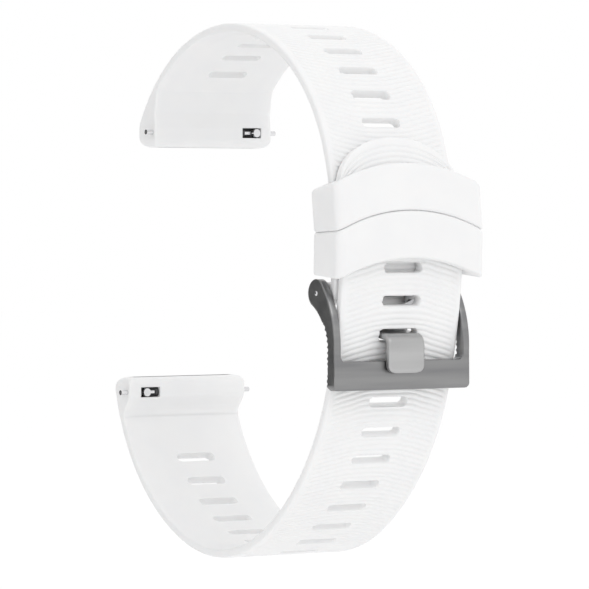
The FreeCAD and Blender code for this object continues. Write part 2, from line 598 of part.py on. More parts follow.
def keeper(low_angle, height):
    """Loop of silicone round both straps, its edges arched like the strap's free end."""
    span = math.degrees(height / FREE_END_RADIUS)
    spare = math.degrees((KEEPER_ARCH + PAST) / FREE_END_RADIUS)
    start = low_angle - spare
    outer = ring_section(KEEPER_HALF_HOLE + KEEPER_SIDE_WALL, KEEPER_INNER - KEEPER_INNER_WALL,
                         KEEPER_OUTER + KEEPER_OUTER_WALL, KEEPER_CORNER, start)
    hole = ring_section(KEEPER_HALF_HOLE, KEEPER_INNER, KEEPER_OUTER, KEEPER_HOLE_CORNER, start)
    sweep = span + 2 * spare
    ring = outer.revolve(KEEPER_CENTRE, X_AXIS, sweep).cut(hole.revolve(KEEPER_CENTRE, X_AXIS, sweep))
    shape = stand_on(arch_band(height), KEEPER_CENTRE, FREE_END_RADIUS, low_angle + span / 2)
    return ring.common(shape)


def keeper_start(index):
    """Angle of a keeper's lower corners, above the keepers below it."""
    run = sum(KEEPER_HEIGHTS[:index]) + index * KEEPER_SPACE
    return KEEPER_FIRST_ANGLE + math.degrees(run / FREE_END_RADIUS)


def save(name, shape):
    """Move a finished piece to the part's own origin and write it."""
    solids = [s for s in shape.Solids]
    piece = solids[0] if len(solids) == 1 else Part.makeCompound(solids)
    piece.translate(ORIGIN * -1)
    piece.exportStep("parts/" + name + ".step")
    print(name, len(solids), round(piece.Volume, 3), piece.isValid())


def build():
    os.makedirs("parts", exist_ok=True)
    save("buckle_strap", buckle_strap())
    save("hole_strap", hole_strap())
    save("lower_keeper", keeper(keeper_start(0), KEEPER_HEIGHTS[0]))
    save("upper_keeper", keeper(keeper_start(1), KEEPER_HEIGHTS[1]))
    save("buckle_frame", buckle_frame())
    save("buckle_tongue", buckle_tongue())
    save("buckle_bar_tube", bar_tube(HINGE))
    buckle_tip_end = FRAME_OUTER_X - PIVOT_CLEARANCE
    save("buckle_bar_tip_left", sliding_tip(HINGE, -1, buckle_tip_end))
    save("buckle_bar_tip_right", sliding_tip(HINGE, 1, buckle_tip_end))
    save("buckle_bar_spring", buckle_spring())
    for side, centre, hand in (("upper", UPPER_BAR, -1), ("lower", LOWER_BAR, 1)):
        save(side + "_bar_tube", release_tube(centre, hand))
        save(side + "_bar_fixed_tip", fixed_tip(centre, -hand))
        save(side + "_bar_sliding_tip", sliding_tip(centre, hand, TIP_END))
        save(side + "_bar_spring", release_spring(centre, hand))
        save(side + "_release_knob", release_knob(centre, hand))
    for name, point in (("upper bar", UPPER_BAR), ("lower bar", LOWER_BAR), ("hinge", HINGE),
                        ("keeper arc centre", KEEPER_CENTRE)):
        print(name, "at y", round(point.y - ORIGIN.y, 3), "z", round(point.z - ORIGIN.z, 3))


build()
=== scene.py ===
# %% [markdown]
# # A silicone sports-watch strap, buckled into its worn loop
# Two soft straps meet at a steel pin buckle. The long one carries a row of slots and an arched free end,
# the short one hangs the buckle, and two keepers hold the free end down. Quick-release spring bars sit in
# both lugs. The CAD frame gives the places and the motion; this lesson builds the looks round it.

# %% Load the CAD frame
import json
import math

import bpy
import numpy as np
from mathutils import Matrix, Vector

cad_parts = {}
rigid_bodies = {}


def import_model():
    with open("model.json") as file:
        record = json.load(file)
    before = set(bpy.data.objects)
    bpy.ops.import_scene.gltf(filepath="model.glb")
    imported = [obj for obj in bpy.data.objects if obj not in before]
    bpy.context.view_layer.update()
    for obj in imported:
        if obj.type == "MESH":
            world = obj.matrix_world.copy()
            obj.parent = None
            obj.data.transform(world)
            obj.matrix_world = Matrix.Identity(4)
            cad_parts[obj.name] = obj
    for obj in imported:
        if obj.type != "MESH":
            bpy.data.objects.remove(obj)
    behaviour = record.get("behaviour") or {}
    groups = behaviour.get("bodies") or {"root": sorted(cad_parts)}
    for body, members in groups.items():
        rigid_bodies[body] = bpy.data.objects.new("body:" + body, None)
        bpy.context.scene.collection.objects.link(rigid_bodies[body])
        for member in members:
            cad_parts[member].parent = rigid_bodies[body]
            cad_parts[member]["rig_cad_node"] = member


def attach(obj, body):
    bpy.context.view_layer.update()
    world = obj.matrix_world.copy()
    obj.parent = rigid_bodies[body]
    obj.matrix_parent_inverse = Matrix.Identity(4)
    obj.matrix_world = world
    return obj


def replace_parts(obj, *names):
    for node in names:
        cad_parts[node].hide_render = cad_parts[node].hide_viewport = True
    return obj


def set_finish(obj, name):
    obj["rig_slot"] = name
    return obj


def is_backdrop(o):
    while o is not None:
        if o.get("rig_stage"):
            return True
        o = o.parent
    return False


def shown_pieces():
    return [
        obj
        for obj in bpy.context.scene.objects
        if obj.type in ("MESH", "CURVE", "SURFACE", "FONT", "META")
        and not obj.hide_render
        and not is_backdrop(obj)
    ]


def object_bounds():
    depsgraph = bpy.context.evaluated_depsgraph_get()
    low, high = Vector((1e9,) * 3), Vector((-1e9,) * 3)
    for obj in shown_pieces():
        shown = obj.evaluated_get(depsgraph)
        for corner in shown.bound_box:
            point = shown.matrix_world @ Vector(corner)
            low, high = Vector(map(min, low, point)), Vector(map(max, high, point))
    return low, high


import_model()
CAD_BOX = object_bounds()

# %% [markdown]
# ## Sizes
# Everything is laid out in millimetres and becomes metres when a mesh is made. The loop is a chain of
# smooth arcs in the YZ plane, the same ones as in the CAD, so each is written as a centre, a radius and two
# angles.

# %% Sizes of the loop
MM = 0.001
HALF = 11.0
THICK = 1.8
KEEPER_ARC = np.array([6.268, 2.825])
HINGE = np.array([51.053, -3.988])
UPPER_BAR = np.array([3.797, 20.71])
LOWER_BAR = -UPPER_BAR
LOWER_RUNS = ((15.9, 92.0), (30.4, 41.0), (23.3, 25.3))   # (length, radius) below the keepers
LOWER_BAR_TURN, LOWER_BAR_DEPTH = 53.7, 3.5
UPPER_BAR_TURN = 133.1
FREE_R, BUCKLE_R = 50.0, 48.1
ARC_TOP, LOWER_START, TIP_ANGLE, HINGE_END = 17.2, -5.7, 20.8, -9.5
TOP_R, FREE_TOP_R, LOWER_LUG_R = 28.5, 30.4, 33.0
TIP_ARCH = 7.7
STEP = 0.125
RIDGE_STEPS = 7
RIDGE_HEIGHT = 0.17
ARCH_R = 31.0
SLOT_HALF, SLOT_HIGH, SLOT_ROUND, SLOT_LIP = 3.45, 0.75, 0.65, 0.09
TONGUE_SLOT_HIGH = 1.0
SLOT_PITCH = 5.0
SLOTS_ABOVE, SLOTS_BELOW, UPPER_SLOTS = 3, 16, 11
TONGUE_SLOT_RUN, FIRST_UPPER_SLOT = 8.3, 27.3
SLOT_STEPS = (-2, 3)   # rows by which the slots above and below the tongue's are moved away from it


def polar(centre, radius, angle):
    """Points at radius and angle (degrees) round a centre: centre + radius times (cosine, sine)."""
    turn = np.radians(angle)
    return np.stack([centre[0] + radius * np.cos(turn), centre[1] + radius * np.sin(turn)], -1)


TOP_ARC = polar(KEEPER_ARC, BUCKLE_R - TOP_R, ARC_TOP)
LOWER_ARCS = []
centre, radius, angle = KEEPER_ARC, FREE_R, LOWER_START
for length, new_radius in (*LOWER_RUNS, (None, LOWER_LUG_R)):
    centre = polar(centre, radius - new_radius, angle)
    radius = new_radius
    sweep = LOWER_BAR_TURN if length is None else math.degrees(length / radius)
    LOWER_ARCS.append((centre, radius, angle, angle - sweep))
    angle -= sweep
LOWER_BAR_ANGLE = angle
UPPER_BAR_ANGLE = ARC_TOP + UPPER_BAR_TURN
found = polar(LOWER_ARCS[-1][0], LOWER_LUG_R - LOWER_BAR_DEPTH, LOWER_BAR_ANGLE)
print("lower bar from the arcs", found.round(3), "expected", LOWER_BAR)


# %% [markdown]
# ## Walking along a chain of arcs
# A strap is drawn by its run: the distance along the outer face. This helper turns runs into points and
# outward normals, whole arrays at once.

# %% Path helper
def walk(arcs, runs):
    """Outer points and outward normals at distances along a chain of arcs.

    Inside one arc the angle is the start angle plus or minus run / radius; the point is centre + radius times
    the unit vector at that angle, which is also the outward normal.
    """
    runs = np.asarray(runs, float)
    centres = np.zeros(runs.shape + (2,))
    radii = np.zeros(runs.shape)
    angles = np.zeros(runs.shape)
    begin = 0.0
    for i, (centre, radius, start, end) in enumerate(arcs):
        length = math.radians(abs(end - start)) * radius
        here = (runs >= begin - 1e-9) if i else np.ones(runs.shape, bool)
        centres[here] = centre
        radii[here] = radius
        angles[here] = start + math.copysign(1, end - start) * np.degrees((runs[here] - begin) / radius)
        begin += length
    turn = np.radians(angles)
    normal = np.stack([np.cos(turn), np.sin(turn)], -1)
    return centres + radii[..., None] * normal, normal


def smooth(x):
    """Goes from 0 to 1 with level ends: 3x^2 - 2x^3, held outside."""
    x = np.clip(x, 0, 1)
    return x * x * (3 - 2 * x)


def resample(line, parts):
    """Points evenly spaced by length along each part of a polyline; parts are (from, to, count) by index."""
    out = []
    for a, b, count in parts:
        piece = line[a:b + 1]
        step = np.r_[0, np.cumsum(np.linalg.norm(np.diff(piece, axis=0), axis=1))]
        at = np.linspace(0, step[-1], count + 1)[(0 if not out else 1):]
        out.append(np.stack([np.interp(at, step, piece[:, i]) for i in range(piece.shape[1])], -1))
    return np.concatenate(out)


def round_corners(points, samples=8):
    """Polyline through (corner, radius) pairs; each corner becomes the arc that touches both its sides."""
    line = [points[0][0]]
    for (before, _), (corner, radius), (after, _) in zip(points, points[1:], points[2:]):
        back = (before - corner) / np.linalg.norm(before - corner)
        ahead = (after - corner) / np.linalg.norm(after - corner)
        half = math.acos(np.clip(back @ ahead, -1, 1)) / 2
        a = corner + back * radius / math.tan(half)
        b = corner + ahead * radius / math.tan(half)
        middle = corner + (back + ahead) / np.linalg.norm(back + ahead) * radius / math.sin(half)
        t = np.linspace(0, 1, samples)[:, None]
        spoke = (a - middle) * (1 - t) + (b - middle) * t
        line.extend(middle + spoke / np.linalg.norm(spoke, axis=1)[:, None] * radius)
    line.append(points[-1][0])
    return np.array(line)


# %% [markdown]
# ## One builder for every bent plate
# A strap, the buckle frame and the tongue are all plates: an outer and an inner face with the same rows and
# columns. Cells can be left out for slots. Wherever the faces end, round the outside or in a slot, a wall
# joins them, so no edge is left open. Doing it by array keeps the rows exactly along the ridges.

# %% Plate builder
def plate(outer, inner, keep, lip=None, levels=(0.08, 0.92), pocket=None):
    """Points and quads of a closed plate from two matching grids (rows, columns, 3).

    keep marks the cells that exist. Each rim edge of the outer grid is joined to the same edge of the inner
    one through rings at the given shares of the thickness, moved by lip (the step from a slot's rounded edge
    to its wall). pocket = (row from, row to, column from, column to, step) sinks cells of the inner grid.
    """
    rows, cols = outer.shape[:2]
    count = rows * cols
    index = np.arange(count).reshape(rows, cols)
    cells = np.stack([index[:-1, :-1], index[1:, :-1], index[1:, 1:], index[:-1, 1:]], -1)
    face = cells[keep]
    inner_keep = keep.copy()
    points = [outer.reshape(-1, 3), inner.reshape(-1, 3)]
    used = 2 * count
    faces = [face]
    if pocket:
        j0, j1, k0, k1, step = pocket
        inner_keep[j0:j1, k0:k1] = False
        points.append(inner[j0:j1 + 1, k0:k1 + 1].reshape(-1, 3) + step)
        low = np.arange(used, used + (j1 - j0 + 1) * (k1 - k0 + 1)).reshape(j1 - j0 + 1, -1)
        used += low.size
        faces.append(np.stack([low[:-1, :-1], low[:-1, 1:], low[1:, 1:], low[1:, :-1]], -1).reshape(-1, 4))
        top = index[j0:j1 + 1, k0:k1 + 1] + count
        ring_top = np.r_[top[0, :-1], top[:-1, -1], top[-1, :0:-1], top[:0:-1, 0]]
        ring_low = np.r_[low[0, :-1], low[:-1, -1], low[-1, :0:-1], low[:0:-1, 0]]
        faces.append(np.stack([ring_top, np.roll(ring_top, -1), np.roll(ring_low, -1), ring_low], -1))
    faces.append(cells[inner_keep][:, ::-1] + count)
    edges = np.concatenate([face[:, [i, (i + 1) % 4]] for i in range(4)])
    forward = edges[:, 0] * count + edges[:, 1]
    rim = edges[~np.isin(forward, edges[:, 1] * count + edges[:, 0])]
    nodes = np.unique(rim)
    shift = np.zeros((count, 3)) if lip is None else lip.reshape(-1, 3)
    above = np.arange(count)
    for share in levels:
        flat_o, flat_i = outer.reshape(-1, 3)[nodes], inner.reshape(-1, 3)[nodes]
        points.append(flat_o + (flat_i - flat_o) * share + shift[nodes])
        below = np.zeros(count, int)
        below[nodes] = np.arange(used, used + len(nodes))
        used += len(nodes)
        faces.append(np.stack([above[rim[:, 1]], above[rim[:, 0]], below[rim[:, 0]], below[rim[:, 1]]], -1))
        above = below
    faces.append(np.stack([above[rim[:, 1]], above[rim[:, 0]], rim[:, 0] + count, rim[:, 1] + count], -1))
    return np.concatenate(points), np.concatenate(faces)


def volume(points, faces):
    """Signed volume: the sum over triangles of a . (b x c) / 6, positive when the faces look outward."""
    a, b, c, d = (points[faces[:, i]] for i in range(4))
    first = np.einsum("ij,ij->i", a, np.cross(b, c))
    second = np.einsum("ij,ij->i", a, np.cross(c, d))
    return float((first + second).sum() / 6)


def piece(name, points, faces, body, slot, sharp=None):
    """Makes the object, faces outward, from millimetre points and quads, and lets it ride on its CAD body."""
    faces = np.asarray(faces)
    if faces.shape[1] == 4 and volume(points, faces) < 0:
        faces = faces[:, ::-1]
    used, faces = np.unique(faces, return_inverse=True)
    faces = faces.reshape(-1, 4)
    mesh = bpy.data.meshes.new(name)
    mesh.from_pydata((points[used] * MM).tolist(), [], faces.tolist())
    mesh.validate()
    mesh.shade_smooth()
    if sharp:
        mesh.set_sharp_from_angle(angle=math.radians(sharp))
    obj = bpy.data.objects.new(name, mesh)
    bpy.context.scene.collection.objects.link(obj)
    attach(obj, body)
    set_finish(obj, slot)
    size = (points[used].max(0) - points[used].min(0)).round(1)
    print(name, "quads", len(faces), "size", size, "volume", round(abs(volume(points[used], faces)), 1))
    return obj


# %% [markdown]
# ## The strap's section
# Columns run across the strap, closer together where a slot ends and where the edge is rounded. The outer
# face has a smooth border; the inner face slopes away in a margin towards each long edge.

# %% Section columns
SLOT_X = [0, 1.0, 2.0, 2.65, 2.9, 3.15, 3.45, 4.0, 4.8, 5.4, 6.3, 7.2]
OUT_X = SLOT_X + [8.1, 9.0, 9.7, 10.1, 10.45, 10.75, 10.93, 11, 11]
OUT_D = [0] * 16 + [0.01, 0.05, 0.15, 0.32, 0.6]
IN_X = SLOT_X + [7.9, 8.45, 9.0, 9.8, 10.4, 10.78, 10.95, 11, 11]
IN_D = [0] * 13 + [0.04, 0.12, 0.27, 0.38, 0.47, 0.58, 0.72, 0.95]
LUG_D = [0] * 16 + [0.02, 0.07, 0.18, 0.34, 0.6]
RIDGED = [1.0] * 15 + [0.0] * 6


def both_sides(values, sign=1):
    """Half a section mirrored into a whole one, from -x to +x."""
    values = np.array(values, float)
    return np.r_[sign * values[:0:-1], values]


OUT_X, IN_X = both_sides(OUT_X, -1), both_sides(IN_X, -1)
OUT_D, IN_D, LUG_D, RIDGED = (both_sides(v) for v in (OUT_D, IN_D, LUG_D, RIDGED))
SLOT_FIRST, SLOT_LAST = (int(np.argmin(abs(OUT_X - s * SLOT_HALF))) for s in (-1, 1))
print("columns", len(OUT_X), "slot columns", SLOT_FIRST, SLOT_LAST)


def arch(x, level):
    """How far a ridge has fallen back at x: x^2 / (2 radius), less towards the middle where level is 1."""
    return x ** 2 / (2 * ARCH_R) * (1 - level * (1 - smooth((abs(x) - 3.5) / 3.0)))


def ridge_depth(rows):
    """Depth of the grooves by row: a broad crest and a narrow valley every RIDGE_STEPS rows."""
    wave = 0.5 - 0.5 * np.cos(2 * np.pi * rows / RIDGE_STEPS)
    return RIDGE_HEIGHT * wave ** 2.2


# %% [markdown]
# ## Slots
# A slot is a block of cells left out. The nodes round the block move onto a rounded outline, a little wider
# at the surface than inside, which gives the soft moulded lip.

# %% Slot outline
def slot_nodes(runs, x, centres, highs):
    """New runs and x of the nodes, the step to the slot's wall, and the cells to drop.

    A node on a block's rim goes to the nearest point of a rounded rectangle: in a corner that is the corner
    circle's centre plus its radius along the node's direction from there.
    """
    runs, x = runs.copy(), x.copy()
    step_run, step_x = np.zeros(runs.shape), np.zeros(x.shape)
    keep = np.ones((runs.shape[0] - 1, runs.shape[1] - 1), bool)
    middle = runs[:, runs.shape[1] // 2].copy()
    for centre, high in zip(centres, highs):
        j0 = int(np.argmin(abs(middle - (centre - high))))
        j1 = int(np.argmin(abs(middle - (centre + high))))
        keep[j0:j1, SLOT_FIRST:SLOT_LAST] = False
        rim = np.zeros(runs.shape, bool)
        rim[j0:j1 + 1, SLOT_FIRST:SLOT_LAST + 1] = True
        rim[j0 + 1:j1, SLOT_FIRST + 1:SLOT_LAST] = False
        dr, dx = runs[rim] - centre, x[rim]
        cr = np.sign(dr) * np.minimum(abs(dr), high - SLOT_ROUND)
        cx = np.sign(dx) * np.minimum(abs(dx), SLOT_HALF - SLOT_ROUND)
        away = np.hypot(dr - cr, dx - cx)
        ur, ux = (dr - cr) / away, (dx - cx) / away
        runs[rim] = centre + cr + ur * (SLOT_ROUND + SLOT_LIP)
        x[rim] = cx + ux * (SLOT_ROUND + SLOT_LIP)
        step_run[rim], step_x[rim] = -ur * SLOT_LIP, -ux * SLOT_LIP
    return runs, x, step_run, step_x, keep


# %% [markdown]
# ## Lugs
# The thick end of a strap wraps its spring bar. Its outline leaves the inner face, dips in a finger scoop,
# rises over the bar and rounds the end. The rows follow this outline on the inside and the outer face on
# the outside, and meet in the middle of the end face.

# %% Lug outline
LUG_BACK, LUG_FACE, LUG_DROP, LUG_CORNER = 4.2, 1.05, 2.4, 1.3
SCOOP_ROUND, CREST_ROUND, INNER_END_ROUND, OUTER_END_ROUND = 1.6, 1.2, 1.4, 1.8
CREST_BACK = 0.75        # the crest lies this far before the bar
END_HALF_GAP = 0.2       # the two faces stop this far from the middle of the end
LUG_ROWS = (40, 8, 26)   # rows before, in and after the window for the release knob
WINDOW_HALF, WINDOW_DEEP, WINDOW_X = 0.8, 1.7, (5.4, 9.0)
LUG_BLEND_ROWS = 24.0    # the edge goes over from the strap's section to the lug's in these rows
MOST_DEPTH = 0.45        # most of the thickness that a rounded edge may take
CORNER_FROM = 8.0        # columns further out than this draw in round the end's corners


def lug_rows(bar, centre, radius, side, inner_angle, outer_angle, scoop):
    """Outer and inner lines of a lug as matching rows, and the two rows between which the window lies."""
    towards = np.array([0.0, side])
    inward = np.array([1.0, 0.0])
    root = polar(centre, radius - THICK, inner_angle)
    crest = bar + inward * LUG_FACE - towards * CREST_BACK
    inner_end = bar + inward * LUG_FACE + towards * LUG_DROP
    outer_end = bar - inward * LUG_BACK + towards * LUG_DROP
    shoulder = polar(centre, radius, outer_angle)
    line = round_corners([(root, 0), (scoop, SCOOP_ROUND), (crest, CREST_ROUND), (inner_end, INNER_END_ROUND),
                          (outer_end, OUTER_END_ROUND), (shoulder, 0)], 12)
    middle = (inner_end + outer_end) / 2
    from_end = line - inner_end
    last = int(np.argmax((from_end @ -inward > END_HALF_GAP) & (abs(from_end @ towards) < 1e-6)))
    inner = np.concatenate([line[:last], [middle + inward * END_HALF_GAP]])
    tail = line[last:]
    face = polar(centre, radius, np.linspace(inner_angle, outer_angle, 40))
    outer = np.concatenate([face[:-1], tail[::-1], [middle - inward * END_HALF_GAP]])
    marks = []
    for offset in (-WINDOW_HALF, WINDOW_HALF):
        z = bar[1] + side * offset
        i = int(np.argmax(side * (inner[:, 1] - z) > 0))
        share = (z - inner[i - 1, 1]) / (inner[i, 1] - inner[i - 1, 1])
        inner = np.insert(inner, i, inner[i - 1] + share * (inner[i] - inner[i - 1]), axis=0)
        marks.append(i)
    a, b = marks
    before, within, after = LUG_ROWS
    rows_in = resample(inner, [(0, a, before), (a, b, within), (b, len(inner) - 1, after)])
    rows_out = resample(outer, [(0, len(outer) - 1, sum(LUG_ROWS))])
    return rows_out, rows_in, (before, before + within)


def lug_grids(bar, side, rows_out, rows_in):
    """Full grids of a lug: the columns keep their rounded edges and the two end corners are rounded."""
    gap = rows_in - rows_out
    length = np.linalg.norm(gap, axis=1)[:, None]
    way = gap / length
    blend = smooth(np.arange(len(rows_out)) / LUG_BLEND_ROWS)[:, None]
    depth_in = IN_D * (1 - blend) + LUG_D * blend
    depth_in = np.minimum(depth_in, MOST_DEPTH * length)
    depth_out = np.minimum(OUT_D, MOST_DEPTH * length)
    x_in = IN_X * (1 - blend) + OUT_X * blend
    keep_window = (abs(IN_X) >= 5.3) & (abs(IN_X) <= 9.1)
    x_in[:, keep_window] = IN_X[keep_window]
    grids = []
    x_out = np.broadcast_to(OUT_X, x_in.shape)
    for line, depth, x, sign in ((rows_out, depth_out, x_out, 1), (rows_in, depth_in, x_in, -1)):
        flat = line[:, None, :] + sign * way[:, None, :] * depth[..., None]
        left = np.clip(LUG_DROP - side * (flat[..., 1] - bar[1]), 0, LUG_CORNER)
        limit = HALF - (LUG_CORNER - np.sqrt(np.maximum(LUG_CORNER ** 2 - (LUG_CORNER - left) ** 2, 0)))
        past = np.maximum(abs(x) - CORNER_FROM, 0)
        inside = np.minimum(abs(x), CORNER_FROM) + past * (limit - CORNER_FROM) / (HALF - CORNER_FROM)
        grids.append(np.dstack([np.sign(x) * inside, flat]))
    return grids


# %% [markdown]
# ## The long strap
# It runs from the arched free end, under the keepers, past the buckle and round to the lower lug. The
# ridges run across it in arches. Near the free end they change over to the outline of the end itself.

# %% Long strap
LOWER_LUG_TURN, LOWER_SHOULDER_TURN, LOWER_SCOOP_TURN = 6.5, 0.7, 1.2
RIDGE_FADE = 3.0      # the ridges fade out over this much before a lug
START_BLEND = 13.0    # the rows go over from the free end's outline to the arch in this run
free_arcs = [(TOP_ARC, FREE_TOP_R, TIP_ANGLE, ARC_TOP),
             (KEEPER_ARC, FREE_R, ARC_TOP, LOWER_START)] + LOWER_ARCS
tip_run = math.radians(TIP_ANGLE - ARC_TOP) * FREE_TOP_R
keeper_run = math.radians(ARC_TOP - LOWER_START) * FREE_R
slot_place = np.arange(-SLOTS_ABOVE, SLOTS_BELOW + 1)
slot_shift = STEP * np.select([slot_place < 0, slot_place > 0], SLOT_STEPS)
slot_runs = tip_run + keeper_run + TONGUE_SLOT_RUN + SLOT_PITCH * slot_place + slot_shift
slot_highs = np.where(slot_place == 0, TONGUE_SLOT_HIGH, SLOT_HIGH)
lug_angle = LOWER_BAR_ANGLE + LOWER_LUG_TURN
whole_run = sum(math.radians(abs(e - s)) * r for _, r, s, e in free_arcs)
lug_run = whole_run - math.radians(LOWER_LUG_TURN) * LOWER_LUG_R
first = slot_runs[0] - STEP * math.floor(slot_runs[0] / STEP - 1)
along = np.r_[0, np.arange(first, lug_run - STEP / 2, STEP)]
row_phase = np.r_[-1, np.arange(len(along) - 1)]


def tip_fall(x):
    """Run from the tip down to the free end's outline at x, which is half an ellipse seen flat."""
    drop = TIP_ARCH * (1 - np.sqrt(np.clip(1 - (x / HALF) ** 2, 0, 1)))
    runs = np.linspace(0, 14, 400)
    height = walk(free_arcs, runs)[0][:, 1]
    return np.interp(drop, height[0] - height, runs)


def strap_grids(slots, along, x_columns, depth_columns, fall_start, blend_length, end_run, carve):
    """Runs and depths of one face: rows follow the start outline, then the arch, then lie straight."""
    x = np.broadcast_to(x_columns, (len(along), len(x_columns))).copy()
    begin = np.clip(along / blend_length, 0, 1)[:, None]
    end = smooth((along - (end_run - 14.0)) / 14.0)[:, None]
    nearest = abs(along[:, None] - slots[None, :]).min(1)
    level = 1 - smooth((nearest - 1.15) / 1.25)[:, None]
    runs = along[:, None] + fall_start(x) * (1 - begin) + arch(x, level) * begin * (1 - end)
    depth = np.broadcast_to(depth_columns, x.shape) + carve
    return runs, x, depth


def to_points(arcs, runs, x, depth):
    """Points of a face from its runs, x and depths below the outer face."""
    at, normal = walk(arcs, runs)
    return np.dstack([x, at - normal * depth[..., None]])


border = smooth((along - 0.7) / 0.5) * smooth((lug_run - RIDGE_FADE - along) / RIDGE_FADE)
carve = ridge_depth(row_phase)[:, None] * border[:, None] * RIDGED
# the first two rows step back from both faces, which rounds the rim of the free end
edge = np.where(along < 0.05, 0.3, np.where(along < 0.25, 0.06, 0.0))[:, None]
side_room = 1 - smooth((abs(OUT_X) - 10.3) / 0.6)
rim = edge * side_room
runs_o, x_o, depth_o = strap_grids(slot_runs, along, OUT_X, OUT_D, tip_fall, START_BLEND, lug_run,
                                   carve + rim)
runs_i, x_i, depth_i = strap_grids(slot_runs, along, IN_X, THICK - IN_D, tip_fall, START_BLEND, lug_run, -rim)
new_o = slot_nodes(runs_o, x_o, slot_runs, slot_highs)
new_i = slot_nodes(runs_i, x_i, slot_runs, slot_highs)
outer = to_points(free_arcs, new_o[0], new_o[1], depth_o)
inner = to_points(free_arcs, new_i[0], new_i[1], depth_i)
lip = to_points(free_arcs, new_o[0] + new_o[2], new_o[1] + new_o[3], depth_o) - outer
scoop = polar(LOWER_ARCS[-1][0], LOWER_LUG_R - THICK, lug_angle - LOWER_SCOOP_TURN)
lug_out, lug_in, window = lug_rows(LOWER_BAR, LOWER_ARCS[-1][0], LOWER_LUG_R, 1, lug_angle,
                                   LOWER_BAR_ANGLE + LOWER_SHOULDER_TURN, scoop)
end_out, end_in = lug_grids(LOWER_BAR, 1, lug_out, lug_in)
start = len(along)
outer, inner = np.concatenate([outer, end_out]), np.concatenate([inner, end_in])
lip = np.concatenate([lip, np.zeros(end_out.shape)])
keep = np.ones((len(outer) - 1, len(OUT_X) - 1), bool)
keep[:start - 1] = new_o[4]
columns = [int(np.argmin(abs(IN_X - v))) for v in WINDOW_X]
pocket = (start + window[0], start + window[1], columns[0], columns[1], np.array([0, -WINDOW_DEEP, 0]))
points, faces = plate(outer, inner, keep, lip, pocket=pocket)
long_strap = piece("long_strap", points, faces, "straps", "strap_silicone", sharp=50)
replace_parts(long_strap, "hole_strap")

# %% [markdown]
# ## The short strap
# Its hinge end is rolled round the buckle bar, with a notch for the tongue. From there it lies under the
# free end, goes over the top of the loop and ends in the upper lug. Its ridges arch the other way.

# %% Short strap
UPPER_LUG_TURN, UPPER_SHOULDER_TURN = 14.0, 2.1
UPPER_SCOOP_DIP, UPPER_SCOOP_RISE = 0.25, 3.0
SHORT_BLEND = 16.0              # the rows go over from straight to arched in this run
NOTCH_STEPS = 200               # rows from the end of the tongue's notch to the first slot
BULB_R, BULB_FROM, BULB_TO = 1.8, -22.2, -303.7
HINGE_ROWS = 40
short_arcs = [(KEEPER_ARC, BUCKLE_R, HINGE_END, ARC_TOP), (TOP_ARC, TOP_R, ARC_TOP, UPPER_BAR_ANGLE)]
short_slots = FIRST_UPPER_SLOT + SLOT_PITCH * np.arange(UPPER_SLOTS)
short_lug_angle = UPPER_BAR_ANGLE - UPPER_LUG_TURN
short_lug_run = math.radians(ARC_TOP - HINGE_END) * BUCKLE_R + math.radians(short_lug_angle - ARC_TOP) * TOP_R
notch_run = short_slots[0] - NOTCH_STEPS * STEP
s_along = np.arange(notch_run, short_lug_run - STEP / 2, STEP)
s_phase = np.arange(len(s_along))
s_border = smooth((s_along - 2.5) / 1.0) * smooth((short_lug_run - RIDGE_FADE - s_along) / RIDGE_FADE)
s_carve = ridge_depth(s_phase)[:, None] * s_border[:, None] * RIDGED


def no_fall(x):
    """A straight first row."""
    return np.zeros(np.shape(x))


runs_o, x_o, depth_o = strap_grids(short_slots, s_along, OUT_X, OUT_D, no_fall, SHORT_BLEND, short_lug_run,
                                   s_carve)
runs_i, x_i, depth_i = strap_grids(short_slots, s_along, IN_X, THICK - IN_D, no_fall, SHORT_BLEND, short_lug_run,
                                   0)
short_highs = np.full(len(short_slots), SLOT_HIGH)
new_o = slot_nodes(runs_o, x_o, short_slots, short_highs)
new_i = slot_nodes(runs_i, x_i, short_slots, short_highs)
outer = to_points(short_arcs, new_o[0], new_o[1], depth_o)
inner = to_points(short_arcs, new_i[0], new_i[1], depth_i)
lip = to_points(short_arcs, new_o[0] + new_o[2], new_o[1] + new_o[3], depth_o) - outer
bulb_turn = np.radians(np.linspace(BULB_FROM, BULB_TO, 60))[:, None]
face_start = polar(KEEPER_ARC, BUCKLE_R, HINGE_END)
out_way = (face_start - KEEPER_ARC) / BUCKLE_R
up_way = np.array([-out_way[1], out_way[0]])
end_middle = face_start - out_way * 0.6
bulb_line = HINGE + BULB_R * (np.cos(bulb_turn) * out_way + np.sin(bulb_turn) * up_way)
join_out, join_in = walk(short_arcs, np.array([notch_run]))
line_in = np.concatenate([[end_middle - out_way * 0.15], bulb_line, join_out - join_in * THICK])
line_out = np.concatenate([[end_middle + out_way * 0.15], [face_start - out_way * 0.35],
                           [face_start - out_way * 0.08 + up_way * 0.1],
                           walk(short_arcs, np.linspace(0.35, notch_run, 12))[0]])
hinge_in = resample(line_in, [(0, len(line_in) - 1, HINGE_ROWS)])[:-1]
hinge_out = resample(line_out, [(0, len(line_out) - 1, HINGE_ROWS)])[:-1]
gap = hinge_in - hinge_out
length = np.linalg.norm(gap, axis=1)[:, None]
depth_out, depth_in = np.minimum(OUT_D, MOST_DEPTH * length), np.minimum(IN_D, MOST_DEPTH * length)
way = (gap / length)[:, None, :]
start_out = np.dstack([np.broadcast_to(OUT_X, depth_out.shape),
                       hinge_out[:, None, :] + way * depth_out[..., None]])
start_in = np.dstack([np.broadcast_to(IN_X, depth_in.shape),
                      hinge_in[:, None, :] - way * depth_in[..., None]])
scoop = UPPER_BAR + np.array([LUG_FACE - UPPER_SCOOP_DIP, UPPER_SCOOP_RISE])
